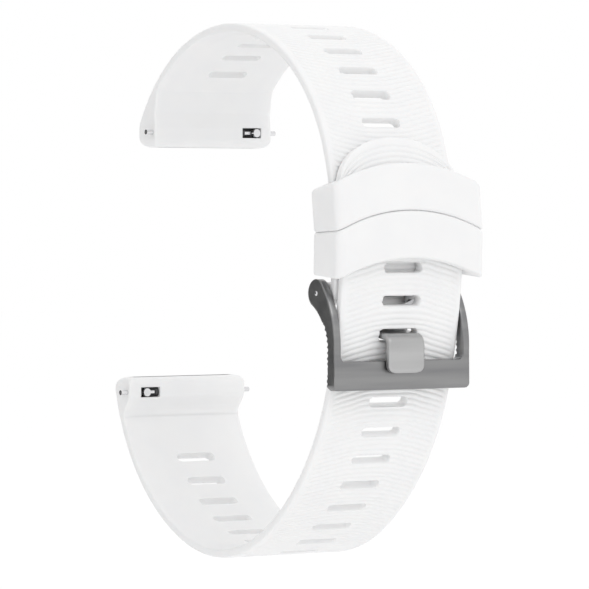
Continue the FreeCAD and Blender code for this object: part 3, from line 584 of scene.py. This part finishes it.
lug_out, lug_in, window = lug_rows(UPPER_BAR, TOP_ARC, TOP_R, -1, short_lug_angle,
                                   UPPER_BAR_ANGLE + UPPER_SHOULDER_TURN, scoop)
end_out, end_in = lug_grids(UPPER_BAR, -1, lug_out, lug_in)
outer, inner = np.concatenate([start_out, outer, end_out]), np.concatenate([start_in, inner, end_in])
lip = np.concatenate([np.zeros(start_out.shape), lip, np.zeros(end_out.shape)])
keep = np.ones((len(outer) - 1, len(OUT_X) - 1), bool)
keep[HINGE_ROWS:HINGE_ROWS + len(s_along) - 1] = new_o[4]
keep[:HINGE_ROWS, SLOT_FIRST:SLOT_LAST] = False
first_row = HINGE_ROWS + len(s_along)
columns = [int(np.argmin(abs(IN_X + v))) for v in WINDOW_X[::-1]]
pocket = (first_row + window[0], first_row + window[1], columns[0], columns[1],
          np.array([0, -WINDOW_DEEP, 0]))
points, faces = plate(outer, inner, keep, lip, pocket=pocket)
short_strap = piece("short_strap", points, faces, "straps", "strap_silicone", sharp=50)
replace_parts(short_strap, "buckle_strap")

# %% [markdown]
# ## Keepers
# Each keeper is a smooth band round both straps. Its section is a rounded oblong carried round a rounded
# rectangle, and its two edges bow upwards like the free end. Heights are angles here, so the edges lie
# along radii and the two keepers meet with the same narrow gap all the way through.

# %% Keepers
KEEPER_IN, KEEPER_OUT, KEEPER_HALF = 46.15, 50.15, 11.25
KEEPER_SIDE, KEEPER_UNDER, KEEPER_OVER = 2.2, 1.2, 2.3   # walls beside, under and over the straps
KEEPER_CORNER, KEEPER_HOLE_CORNER, KEEPER_ROUND = 1.3, 0.3, 0.5
KEEPER_LOW_ANGLE, KEEPER_HEIGHT, KEEPER_PITCH = -5.1, 6.88, 6.91
BULGE_HALF, BULGE_RISE = 13.1, 2.9                      # the edges rise by this between these half widths
KEEPER_BULGE_R = (BULGE_HALF ** 2 + BULGE_RISE ** 2) / (2 * BULGE_RISE)


def rounded_rectangle(half, low, high, corner, per_corner, per_side):
    """Closed line round a rectangle of x and radius values with equal numbers of points in each corner."""
    line = []
    for sx, r, turn in ((1, high, 0), (-1, high, 90), (-1, low, 180), (1, low, 270)):
        middle = np.array([sx * (half - corner), r - corner if r == high else r + corner])
        line.append(polar(middle, corner, np.linspace(turn, turn + 90, per_corner)))
    out = []
    for i in range(4):
        a, b = line[i], line[(i + 1) % 4]
        t = np.linspace(0, 1, per_side + 2)[1:-1, None]
        out += [a, a[-1] * (1 - t) + b[0] * t]
    return np.concatenate(out)


def band_section(height, walls, rounding, steps=6):
    """Closed oblong at every place of the path: depths below the outside, and heights of its points.

    Each corner is a quarter circle, its centre plus rounding times (cosine, sine). The outside corners lie as
    deep as the rounding, the inside ones at the wall minus the rounding.
    """
    depths, heights = [], []
    for near, up, start in ((True, 1, 180), (False, 1, 90), (False, -1, 0), (True, -1, -90)):
        centre_d = np.full(len(walls), rounding) if near else walls - rounding
        turn = np.radians(np.linspace(start, start - 90, steps))
        depths.append(centre_d[:, None] + rounding * np.cos(turn))
        heights.append(up * (height / 2 - rounding) + rounding * np.sin(turn))
    return np.concatenate(depths, axis=1), np.concatenate(heights)


def keeper(name, low_angle, height, body, node):
    """Grid of path places by section places, both closed, bent round the keeper arc.

    The height is an angle, height / FREE_R round the keeper arc, and both edges bow like a wide circle.
    """
    middle = low_angle + math.degrees(height / FREE_R) / 2
    path_out = rounded_rectangle(KEEPER_HALF + KEEPER_SIDE, KEEPER_IN - KEEPER_UNDER,
                                 KEEPER_OUT + KEEPER_OVER, KEEPER_CORNER, 9, 22)
    path_in = rounded_rectangle(KEEPER_HALF, KEEPER_IN, KEEPER_OUT, KEEPER_HOLE_CORNER, 9, 22)
    wall = np.linalg.norm(path_in - path_out, axis=1)
    depth, level = band_section(height, wall, KEEPER_ROUND)
    share = (depth / wall[:, None])[..., None]
    place = path_out[:, None, :] + (path_in - path_out)[:, None, :] * share
    x, r = place[..., 0], place[..., 1]
    v = level + np.sqrt(KEEPER_BULGE_R ** 2 - x ** 2) - (KEEPER_BULGE_R - BULGE_RISE)
    turn = math.radians(middle) + v / FREE_R
    points = np.stack([x, KEEPER_ARC[0] + r * np.cos(turn), KEEPER_ARC[1] + r * np.sin(turn)], -1)
    rows, cols = x.shape
    index = np.arange(rows * cols).reshape(rows, cols)
    a, b = index, np.roll(index, -1, 0)
    quads = np.stack([a, b, np.roll(b, -1, 1), np.roll(a, -1, 1)], -1).reshape(-1, 4)
    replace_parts(piece(name, points.reshape(-1, 3), quads, body, "keeper_silicone", sharp=60), node)


second_angle = KEEPER_LOW_ANGLE + math.degrees(KEEPER_PITCH / FREE_R)
keeper("keeper_band_low", KEEPER_LOW_ANGLE, KEEPER_HEIGHT, "keeper_low", "lower_keeper")
keeper("keeper_band_high", second_angle, KEEPER_HEIGHT, "keeper_high", "upper_keeper")

# %% [markdown]
# ## Buckle frame
# One steel plate bent as a U: an ear on the bar, an arm that sweeps out over the straps, the front bar and
# back. It is the same plate builder again: the outer grid goes down the outside of an arm, along under the
# bar and up again, and the inner grid lines the opening. The back edge of each arm is milled like a coin's
# edge.

# %% Buckle frame
ARM_IN, ARM_OUT = 11.25, 12.45
FACE_Y = HINGE[0] + 4.9
BACK_Y = FACE_Y - 2.25
BAR_TOP, BAR_LOW = HINGE[1] - 10.05, HINGE[1] - 14.4
BAR_BACK = 0.55                            # the front bar's back lies this far before the arms' backs
SWEEP_Z = HINGE[1] - 8.6
FRONT_BEND, BACK_BEND = (4.05, 3.0), (1.35, 4.1)   # out from the hinge, and below it
EAR_R, EAR_HOLE = 2.15, 0.45
EAR_FRONT_ANGLE, EAR_BACK_ANGLE = 27.0, 228.0
INNER_CORNER, OUTER_CORNER = 0.8, 0.7
CORNER_ROWS = 18
MILL_PITCH, MILL_DEPTH = 0.85, 0.36


def circle_through(a, b, c):
    """Centre and radius of the circle through three points, from the two equal-distance lines."""
    a, b, c = (np.asarray(p, float) for p in (a, b, c))
    centre = np.linalg.solve(2 * np.array([b - a, c - a]), np.array([b @ b - a @ a, c @ c - a @ a]))
    return centre, float(np.linalg.norm(a - centre))


def arm_lines(z):
    """Front and back y of an arm at heights z: straight, then an arc, then the round ear."""
    h = HINGE
    ear_front, ear_back = polar(h, EAR_R, EAR_FRONT_ANGLE), polar(h, EAR_R, EAR_BACK_ANGLE)
    front_arc = circle_through((FACE_Y, SWEEP_Z), (h[0] + FRONT_BEND[0], h[1] - FRONT_BEND[1]), ear_front)
    back_arc = circle_through(ear_back, (h[0] + BACK_BEND[0], h[1] - BACK_BEND[1]), (BACK_Y, SWEEP_Z))
    ear = np.sqrt(np.maximum(EAR_R ** 2 - (z - h[1]) ** 2, 0))
    front = np.full(z.shape, FACE_Y)
    back = np.full(z.shape, BACK_Y)
    for line, (centre, radius), ear_z, sign in ((front, front_arc, ear_front[1], 1),
                                                (back, back_arc, ear_back[1], -1)):
        reach = np.sqrt(np.maximum(radius ** 2 - (z - centre[1]) ** 2, 0))
        side = 1 if abs(centre[0] + radius - line[0]) < abs(centre[0] - radius - line[0]) else -1
        bend = z > SWEEP_Z
        line[bend] = (centre[0] + side * reach)[bend]
        top = z > ear_z
        line[top] = (h[0] + sign * ear)[top]
    return front, back


ear_z = HINGE[1] + EAR_R * np.sin(np.radians([82, 76, 68, 60, 50, 40, 30, 21]))
hole_z = HINGE[1] + EAR_HOLE * np.array([1, 0.55, 0, -0.55, -1.0])
neck_z = HINGE[1] - np.array([0.8, 1.2, 1.6, 2.1, 2.6, 3.1, 3.6])
mill_z = np.arange(HINGE[1] - 4.0, BAR_TOP + 0.9, -0.12)
arm_z = np.r_[ear_z, hole_z, neck_z, mill_z]
hole_first = len(ear_z)
inner_turn = np.radians(np.linspace(0, 90, 7))
corner_in = np.stack([ARM_IN - INNER_CORNER + INNER_CORNER * np.cos(inner_turn),
                      BAR_TOP + INNER_CORNER - INNER_CORNER * np.sin(inner_turn)], -1)
corner_path = round_corners([(np.array([ARM_OUT, BAR_TOP + INNER_CORNER]), 0),
                             (np.array([ARM_OUT, BAR_LOW]), OUTER_CORNER),
                             (np.array([ARM_IN - INNER_CORNER, BAR_LOW]), 0)], 8)
corner_out = resample(corner_path, [(0, len(corner_path) - 1, CORNER_ROWS)])
corner_in = resample(corner_in, [(0, len(corner_in) - 1, CORNER_ROWS)])
bar_x = np.linspace(ARM_IN - INNER_CORNER, -(ARM_IN - INNER_CORNER), 25)[1:-1]
half_out = np.concatenate([np.stack([np.full(len(arm_z), ARM_OUT), arm_z], -1), corner_out])
half_in = np.concatenate([np.stack([np.full(len(arm_z), ARM_IN), arm_z], -1), corner_in])
mirror = np.array([-1, 1])
bar_out = np.stack([bar_x, np.full(len(bar_x), BAR_LOW)], -1)
bar_in = np.stack([bar_x, np.full(len(bar_x), BAR_TOP)], -1)
path_out = np.concatenate([half_out, bar_out, half_out[::-1] * mirror])
path_in = np.concatenate([half_in, bar_in, half_in[::-1] * mirror])

SHARES = np.array([0, 0.1, 0.25, 0.395, 0.4475, 0.5, 0.5525, 0.605, 0.75, 0.9, 1.0])
BEVEL = 0.22


def frame_face(path, other):
    """One face of the frame: columns run from back to front, with a rounded bevel at both ends."""
    front, back = arm_lines(path[:, 1])
    drop = smooth((ARM_IN + 0.2 - abs(path[:, 0])) / 1.2)
    back = back + BAR_BACK * drop
    milled = (path[:, 1] < HINGE[1] - 4.3) & (abs(path[:, 0]) > ARM_IN - 0.01)
    back = back + np.where(milled, MILL_DEPTH * abs(np.sin(np.pi * path[:, 1] / MILL_PITCH)) ** 0.7, 0)
    way = other - path
    length = np.linalg.norm(way, axis=1)[:, None]
    way = way / length
    width = (front - back)[:, None]
    bevel = np.minimum(BEVEL, 0.3 * width)
    y = back[:, None] + bevel + (width - 2 * bevel) * SHARES
    y = np.column_stack([back, back + bevel[:, 0] * 0.3, y, front - bevel[:, 0] * 0.3, front])
    inset = np.zeros(y.shape)
    inset[:, 0] = inset[:, -1] = BEVEL
    inset[:, 1] = inset[:, -2] = BEVEL * 0.3
    flat = path[:, None, :] + way[:, None, :] * inset[..., None]
    return np.stack([flat[..., 0], y, flat[..., 1]], -1)


def ear_hole(grid, rows, cols):
    """Nodes round a block of cells moved onto the hole's circle."""
    block = np.zeros(grid.shape[:2], bool)
    block[rows[0]:rows[1] + 1, cols[0]:cols[1] + 1] = True
    block[rows[0] + 1:rows[1], cols[0] + 1:cols[1]] = False
    d = grid[block][:, 1:] - HINGE
    grid[block, 1:] = HINGE + d / np.linalg.norm(d, axis=1)[:, None] * EAR_HOLE


# path_out and path_in have the same number of points, so the two faces match place by place
face_out, face_in = frame_face(path_out, path_in), frame_face(path_in, path_out)
keep = np.ones((len(path_out) - 1, face_out.shape[1] - 1), bool)
cols = (5, 9)
hole_last = hole_first + len(hole_z) - 1
last_row = len(path_out) - 1
for rows in ((hole_first, hole_last), (last_row - hole_last, last_row - hole_first)):
    for grid in (face_out, face_in):
        ear_hole(grid, rows, cols)
    keep[rows[0]:rows[1], cols[0]:cols[1]] = False
points, faces = plate(face_out, face_in, keep, levels=())
steel_frame = piece("steel_frame", points, faces, "frame", "brushed_buckle", sharp=35)
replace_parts(steel_frame, "buckle_frame")

# %% [markdown]
# ## Tongue
# A flat steel blade: a barrel turns on the buckle bar, and the blade drops behind the long strap, comes out
# through a slot and lies on the front bar.

# %% Tongue
TONGUE_HALF, TONGUE_THICK = 3.3, 1.0
TIP_LENGTH = 1.2    # the tip narrows and thins over this length
TONGUE_ROOT, TONGUE_KNEE = np.array([0.55, -0.4]), np.array([1.15, -6.0])   # from the hinge
OUTER_KNEE_DROP, TONGUE_END_DROP = 6.6, 11.9
INNER_BEND, OUTER_BEND = 0.9, 1.3
outer_y = FACE_Y + 0.1 + TONGUE_THICK / 2
route = round_corners([(HINGE + TONGUE_ROOT, 0), (HINGE + TONGUE_KNEE, INNER_BEND),
                       (np.array([outer_y, HINGE[1] - OUTER_KNEE_DROP]), OUTER_BEND),
                       (np.array([outer_y, HINGE[1] - TONGUE_END_DROP]), 0)], 14)
route = resample(route, [(0, len(route) - 1, 90)])
ahead = np.gradient(route, axis=0)
ahead /= np.linalg.norm(ahead, axis=1)[:, None]
across = np.stack([-ahead[:, 1], ahead[:, 0]], -1)
left = np.clip((route[:, 1] - route[-1, 1]) / TIP_LENGTH, 0, 1)
left[:40] = 1
narrow = TIP_LENGTH * (1 - np.sqrt(np.maximum(1 - (1 - left) ** 2, 0)))
blade_x = both_sides([0, 1.0, 2.0, 2.65, 3.05, 3.22, 3.3, 3.3], -1)
blade_d = both_sides([0, 0, 0, 0.0, 0.03, 0.1, 0.24, 0.45])
grids = []
for sign in (1, -1):
    x = blade_x[None, :] * ((TONGUE_HALF - narrow) / TONGUE_HALF)[:, None]
    half = TONGUE_THICK / 2 * (0.55 + 0.45 * np.sqrt(np.clip(left * 2.2, 0, 1)))[:, None]
    lift = sign * np.maximum(half - blade_d, 0.05)
    grids.append(np.dstack([x, route[:, None, :] + across[:, None, :] * lift[..., None]]))
points, faces = plate(grids[0], grids[1], np.ones((len(route) - 1, len(blade_x) - 1), bool), levels=())
blade = piece("tongue_blade", points, faces, "tongue", "satin_tongue", sharp=40)
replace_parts(blade, "buckle_tongue")


def tube(name, centre, inner_r, outer_r, half, body, slot, chamfer=0.12, turns=64):
    """Ring of a closed section turned about an axis along X."""
    section = np.array([(inner_r, -half), (outer_r - chamfer, -half), (outer_r, -half + chamfer),
                        (outer_r, half - chamfer), (outer_r - chamfer, half), (inner_r, half)])
    turn = np.linspace(0, 2 * np.pi, turns, endpoint=False)[:, None]
    r, x = section[:, 0][None, :], section[:, 1][None, :]
    points = np.stack([np.broadcast_to(x, (turns, len(section))), centre[0] + r * np.cos(turn),
                       centre[1] + r * np.sin(turn)], -1)
    index = np.arange(turns * len(section)).reshape(turns, -1)
    a, b = index, np.roll(index, -1, 0)
    quads = np.stack([a, b, np.roll(b, -1, 1), np.roll(a, -1, 1)], -1).reshape(-1, 4)
    piece(name, points.reshape(-1, 3), quads, body, slot, sharp=40)


tube("tongue_barrel", HINGE, 0.8, 1.25, TONGUE_HALF, "tongue", "satin_tongue")

# %% [markdown]
# ## Ends of the buckle bar
# The two sprung plungers of the buckle bar end in the ears. A small domed end shows in each ear's hole.

# %% Bar ends
DOME_TURNS = 40
DOME_PLACE = ARM_OUT - 0.1


def dome(name, side, body):
    """Low dome at a plunger's end: rings whose radius shrinks as x rises, closed at both ends."""
    turn = np.linspace(0, 2 * np.pi, DOME_TURNS, endpoint=False)
    rings = [(0.385, -0.15), (0.385, 0.0), (0.35, 0.07), (0.25, 0.12), (0.12, 0.145), (0.03, 0.15)]
    points = []
    for r, x in rings:
        points.append(np.stack([np.full(DOME_TURNS, side * (DOME_PLACE + x)), HINGE[0] + r * np.cos(turn),
                                HINGE[1] + r * np.sin(turn)], -1))
    index = np.arange(DOME_TURNS * len(rings)).reshape(len(rings), DOME_TURNS)
    a, b = index[:-1], index[1:]
    quads = np.stack([a, np.roll(a, -1, 1), np.roll(b, -1, 1), b], -1).reshape(-1, 4)
    points = np.concatenate(points)
    ends = []
    for ring, flip in ((index[0], True), (index[-1], False)):
        middle = len(points)
        points = np.concatenate([points, points[ring].mean(0)[None]])
        pair = ring[::2], np.roll(ring, -1)[::2], np.roll(ring, -2)[::2]
        fan = np.stack([np.full(DOME_TURNS // 2, middle), pair[0], pair[1], pair[2]], -1)
        ends.append(fan[:, ::-1] if flip else fan)
    piece(name, points, np.concatenate([quads, *ends]), body, "polished_pin", sharp=50)


dome("bar_end_left", -1, "buckle_pin_left")
dome("bar_end_right", 1, "buckle_pin_right")

# %% [markdown]
# ## Materials
# Silicone is a soft white with a faint mottle and a fine skin that breaks up its sheen. Steel is brushed:
# noise drawn out along one axis changes its roughness and tilts its surface. The noise lives in small node
# groups that only give masks and normals.

# %% Node groups
def mottle_group():
    """Group: cloudy mask from two noises, and a normal from the finer one."""
    group = bpy.data.node_groups.new("fine_mottle", "ShaderNodeTree")
    sockets = (("Scale", "NodeSocketFloat"), ("Stretch", "NodeSocketVector"), ("Bump", "NodeSocketFloat"))
    for name, kind in sockets:
        group.interface.new_socket(name, in_out="INPUT", socket_type=kind)
    group.interface.new_socket("Mask", in_out="OUTPUT", socket_type="NodeSocketFloat")
    group.interface.new_socket("Fine", in_out="OUTPUT", socket_type="NodeSocketFloat")
    group.interface.new_socket("Normal", in_out="OUTPUT", socket_type="NodeSocketVector")
    nodes, links = group.nodes, group.links
    given, result = nodes.new("NodeGroupInput"), nodes.new("NodeGroupOutput")
    place = nodes.new("ShaderNodeTexCoord")
    stretch = nodes.new("ShaderNodeVectorMath")
    stretch.operation = "MULTIPLY"
    links.new(place.outputs["Object"], stretch.inputs[0])
    links.new(given.outputs["Stretch"], stretch.inputs[1])
    broad, fine = nodes.new("ShaderNodeTexNoise"), nodes.new("ShaderNodeTexNoise")
    finer = nodes.new("ShaderNodeMath")
    finer.operation = "MULTIPLY"
    finer.inputs[1].default_value = 9.0
    links.new(given.outputs["Scale"], broad.inputs["Scale"])
    links.new(given.outputs["Scale"], finer.inputs[0])
    links.new(finer.outputs[0], fine.inputs["Scale"])
    for noise in (broad, fine):
        links.new(stretch.outputs[0], noise.inputs["Vector"])
    bump = nodes.new("ShaderNodeBump")
    bump.inputs["Distance"].default_value = 0.00004
    links.new(given.outputs["Bump"], bump.inputs["Strength"])
    links.new(fine.outputs["Fac"], bump.inputs["Height"])
    links.new(broad.outputs["Fac"], result.inputs["Mask"])
    links.new(fine.outputs["Fac"], result.inputs["Fine"])
    links.new(bump.outputs["Normal"], result.inputs["Normal"])
    return group


MOTTLE = mottle_group()


def finish_material(name, dark, light, rough, metal, scale, stretch, bump, soft=0.0):
    """Principled material whose colour and roughness follow the mottle group's masks.

    The colour goes from dark to light with the broad noise, and the roughness between the two values of
    rough with the fine one. soft is the share of light that spreads under the surface.
    """
    material = bpy.data.materials.new(name)
    material.use_nodes = True
    nodes, links = material.node_tree.nodes, material.node_tree.links
    shader = nodes["Principled BSDF"]
    shader.inputs["Metallic"].default_value = metal
    if soft:
        shader.inputs["Subsurface Weight"].default_value = soft
        shader.inputs["Subsurface Radius"].default_value = (1.0, 0.9, 0.85)
        shader.inputs["Subsurface Scale"].default_value = 0.0008
        shader.inputs["Specular IOR Level"].default_value = 0.4
    mottle = nodes.new("ShaderNodeGroup")
    mottle.node_tree = MOTTLE
    mottle.inputs["Scale"].default_value = scale
    mottle.inputs["Stretch"].default_value = stretch
    mottle.inputs["Bump"].default_value = bump
    colour = nodes.new("ShaderNodeValToRGB")
    colour.color_ramp.elements[0].position, colour.color_ramp.elements[1].position = 0.35, 0.65
    colour.color_ramp.elements[0].color = (*dark, 1)
    colour.color_ramp.elements[1].color = (*light, 1)
    sheen = nodes.new("ShaderNodeMapRange")
    sheen.inputs["To Min"].default_value, sheen.inputs["To Max"].default_value = rough
    links.new(mottle.outputs["Mask"], colour.inputs["Fac"])
    links.new(colour.outputs["Color"], shader.inputs["Base Color"])
    links.new(mottle.outputs["Fine"], sheen.inputs["Value"])
    links.new(sheen.outputs["Result"], shader.inputs["Roughness"])
    links.new(mottle.outputs["Normal"], shader.inputs["Normal"])
    return material


EVEN = (1, 1, 1)
MATERIALS = {
    "strap_silicone": finish_material("white_silicone", (0.87, 0.87, 0.875), (0.885, 0.885, 0.885),
                                      (0.5, 0.62), 0, 180, EVEN, 0.25, 0.15),
    "keeper_silicone": finish_material("white_silicone_smooth", (0.86, 0.86, 0.865), (0.88, 0.88, 0.88),
                                       (0.45, 0.58), 0, 160, EVEN, 0.15, 0.15),
    "brushed_buckle": finish_material("brushed_steel", (0.24, 0.24, 0.245), (0.30, 0.30, 0.30),
                                      (0.26, 0.42), 1, 500, (0.08, 1, 1), 0.35),
    "satin_tongue": finish_material("satin_steel", (0.42, 0.42, 0.42), (0.5, 0.5, 0.5),
                                    (0.24, 0.38), 1, 450, (0.1, 1, 1), 0.2),
    "polished_pin": finish_material("polished_steel", (0.7, 0.7, 0.71), (0.78, 0.78, 0.79),
                                    (0.12, 0.2), 1, 700, (0.2, 1, 1), 0.1),
    # painted shade: the spring bars' tubes get a near-black steel so the release windows in the lugs look as
    # dark as a shaded recess
    "bar_tube_painted_shade": finish_material("painted_shade_tube_steel", (0.07, 0.07, 0.075), (0.12, 0.12, 0.12),
                                (0.3, 0.4), 1, 700, (0.2, 1, 1), 0.1),
    "spring_wire": finish_material("spring_steel", (0.45, 0.45, 0.46), (0.55, 0.55, 0.56),
                                   (0.25, 0.35), 1, 900, EVEN, 0.1),
}
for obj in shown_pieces():
    if "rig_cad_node" in obj:
        # the tubes take the near-black steel that paints the shade in the release windows
        slot = "spring_wire" if "spring" in obj.name else "bar_tube_painted_shade" if "tube" in obj.name else "polished_pin"
    else:
        slot = obj["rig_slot"]
    obj.data.materials.clear()
    obj.data.materials.append(MATERIALS[slot])

# %% [markdown]
# ## Stage, light and camera
# A white floor under a white world, three soft lights, and a long lens a little above the object's middle.
# A dark card gives the steel something dark to reflect. It is hidden from the camera, or it would block the
# views from its own side.

# %% Stage
def stage_plane(name, size, place):
    """Square mesh for the floor or the card."""
    h = size / 2
    mesh = bpy.data.meshes.new(name)
    mesh.from_pydata([(-h, -h, 0), (h, -h, 0), (h, h, 0), (-h, h, 0)], [], [(0, 1, 2, 3)])
    obj = bpy.data.objects.new(name, mesh)
    obj.location = place
    bpy.context.scene.collection.objects.link(obj)
    obj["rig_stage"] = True
    return obj


def paper(name, grey, rough, shine):
    """Plain matt material for the stage."""
    material = bpy.data.materials.new(name)
    material.use_nodes = True
    shader = material.node_tree.nodes["Principled BSDF"]
    shader.inputs["Base Color"].default_value = (grey, grey, grey, 1)
    shader.inputs["Roughness"].default_value = rough
    shader.inputs["Specular IOR Level"].default_value = shine
    return material


FLOOR_SIZE, FLOOR_BELOW = 6.0, 0.05
low = min(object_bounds()[0].z, CAD_BOX[0].z)
floor = stage_plane("floor", FLOOR_SIZE, (0, 0, low - FLOOR_BELOW))
floor.data.materials.append(paper("white_paper", 1, 0.9, 0.0))

world = bpy.data.worlds.new("studio")
bpy.context.scene.world = world
world.use_nodes = True
tree = world.node_tree
sky = tree.nodes["Background"]
sky.inputs["Color"].default_value = (1, 1, 1, 1)
sky.inputs["Strength"].default_value = 1.0
seen = tree.nodes.new("ShaderNodeBackground")
seen.inputs["Color"].default_value = (1, 1, 1, 1)
seen.inputs["Strength"].default_value = 1.0
ray, pick = tree.nodes.new("ShaderNodeLightPath"), tree.nodes.new("ShaderNodeMixShader")
tree.links.new(ray.outputs["Is Camera Ray"], pick.inputs["Fac"])
tree.links.new(sky.outputs[0], pick.inputs[1])
tree.links.new(seen.outputs[0], pick.inputs[2])
tree.links.new(pick.outputs[0], tree.nodes["World Output"].inputs["Surface"])

# %% Camera
TARGET = np.array([0, 27.368, -4.675]) * MM
AZIMUTH, ELEVATION, DISTANCE = math.radians(145.5), math.radians(1.16), 0.645
back = np.array([math.sin(AZIMUTH) * math.cos(ELEVATION), -math.cos(AZIMUTH) * math.cos(ELEVATION),
                 math.sin(ELEVATION)])
camera = bpy.data.objects.new("camera", bpy.data.cameras.new("camera"))
bpy.context.scene.collection.objects.link(camera)
bpy.context.scene.camera = camera
camera.data.sensor_width, camera.data.lens = 36.0, 254.6
camera.data.clip_start, camera.data.clip_end = 0.01, 20.0


def aim(obj, place, at):
    """Puts obj at place with its -Z axis pointing at a spot."""
    obj.location = place
    way = Vector([float(a - p) for a, p in zip(at, place)])
    obj.rotation_mode = "QUATERNION"
    obj.rotation_quaternion = way.to_track_quat("-Z", "Y")


aim(camera, TARGET + back * DISTANCE, TARGET)

# %% Lights
RIGHT = np.array([math.cos(AZIMUTH), math.sin(AZIMUTH), 0])
UP = np.array([0, 0, 1.0])
TOWARDS = np.array([math.sin(AZIMUTH), -math.cos(AZIMUTH), 0])


def soft_light(name, place, size, power):
    """Large area light aimed at the object."""
    data = bpy.data.lights.new(name, "AREA")
    data.size, data.energy = size, power
    obj = bpy.data.objects.new(name, data)
    bpy.context.scene.collection.objects.link(obj)
    aim(obj, place, TARGET)
    obj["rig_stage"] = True


CARD_SIZE, CARD_DISTANCE = 0.55, 0.5
CARD_WAY = np.array([0.566, -0.824, 0.0])   # from the object to the card
card = stage_plane("dark_card", CARD_SIZE, (0, 0, 0))
card.data.materials.append(paper("black_card", 0.14, 1.0, 0.5))
aim(card, TARGET + CARD_WAY * CARD_DISTANCE, TARGET)
card.visible_camera = False
soft_light("key", TARGET + RIGHT * 0.45 + UP * 0.55 + TOWARDS * 0.5, 0.16, 0.4)
soft_light("fill", TARGET - RIGHT * 0.7 + UP * 0.3 + TOWARDS * 0.3, 0.7, 0.1)
soft_light("back", TARGET - RIGHT * 0.2 + UP * 0.5 - TOWARDS * 0.6, 0.7, 0.3)

bpy.context.scene.view_settings.view_transform = "Standard"

# %% [markdown]
# ## Size
# The looks may leave the CAD box by about 3% of a side at most, so both boxes are written down and printed.

# %% Write the sizes
LOOKS_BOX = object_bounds()
for name, box in (("cad", CAD_BOX), ("looks", LOOKS_BOX)):
    print(name, [round(v * 1000, 2) for v in (*box[0], *box[1])])
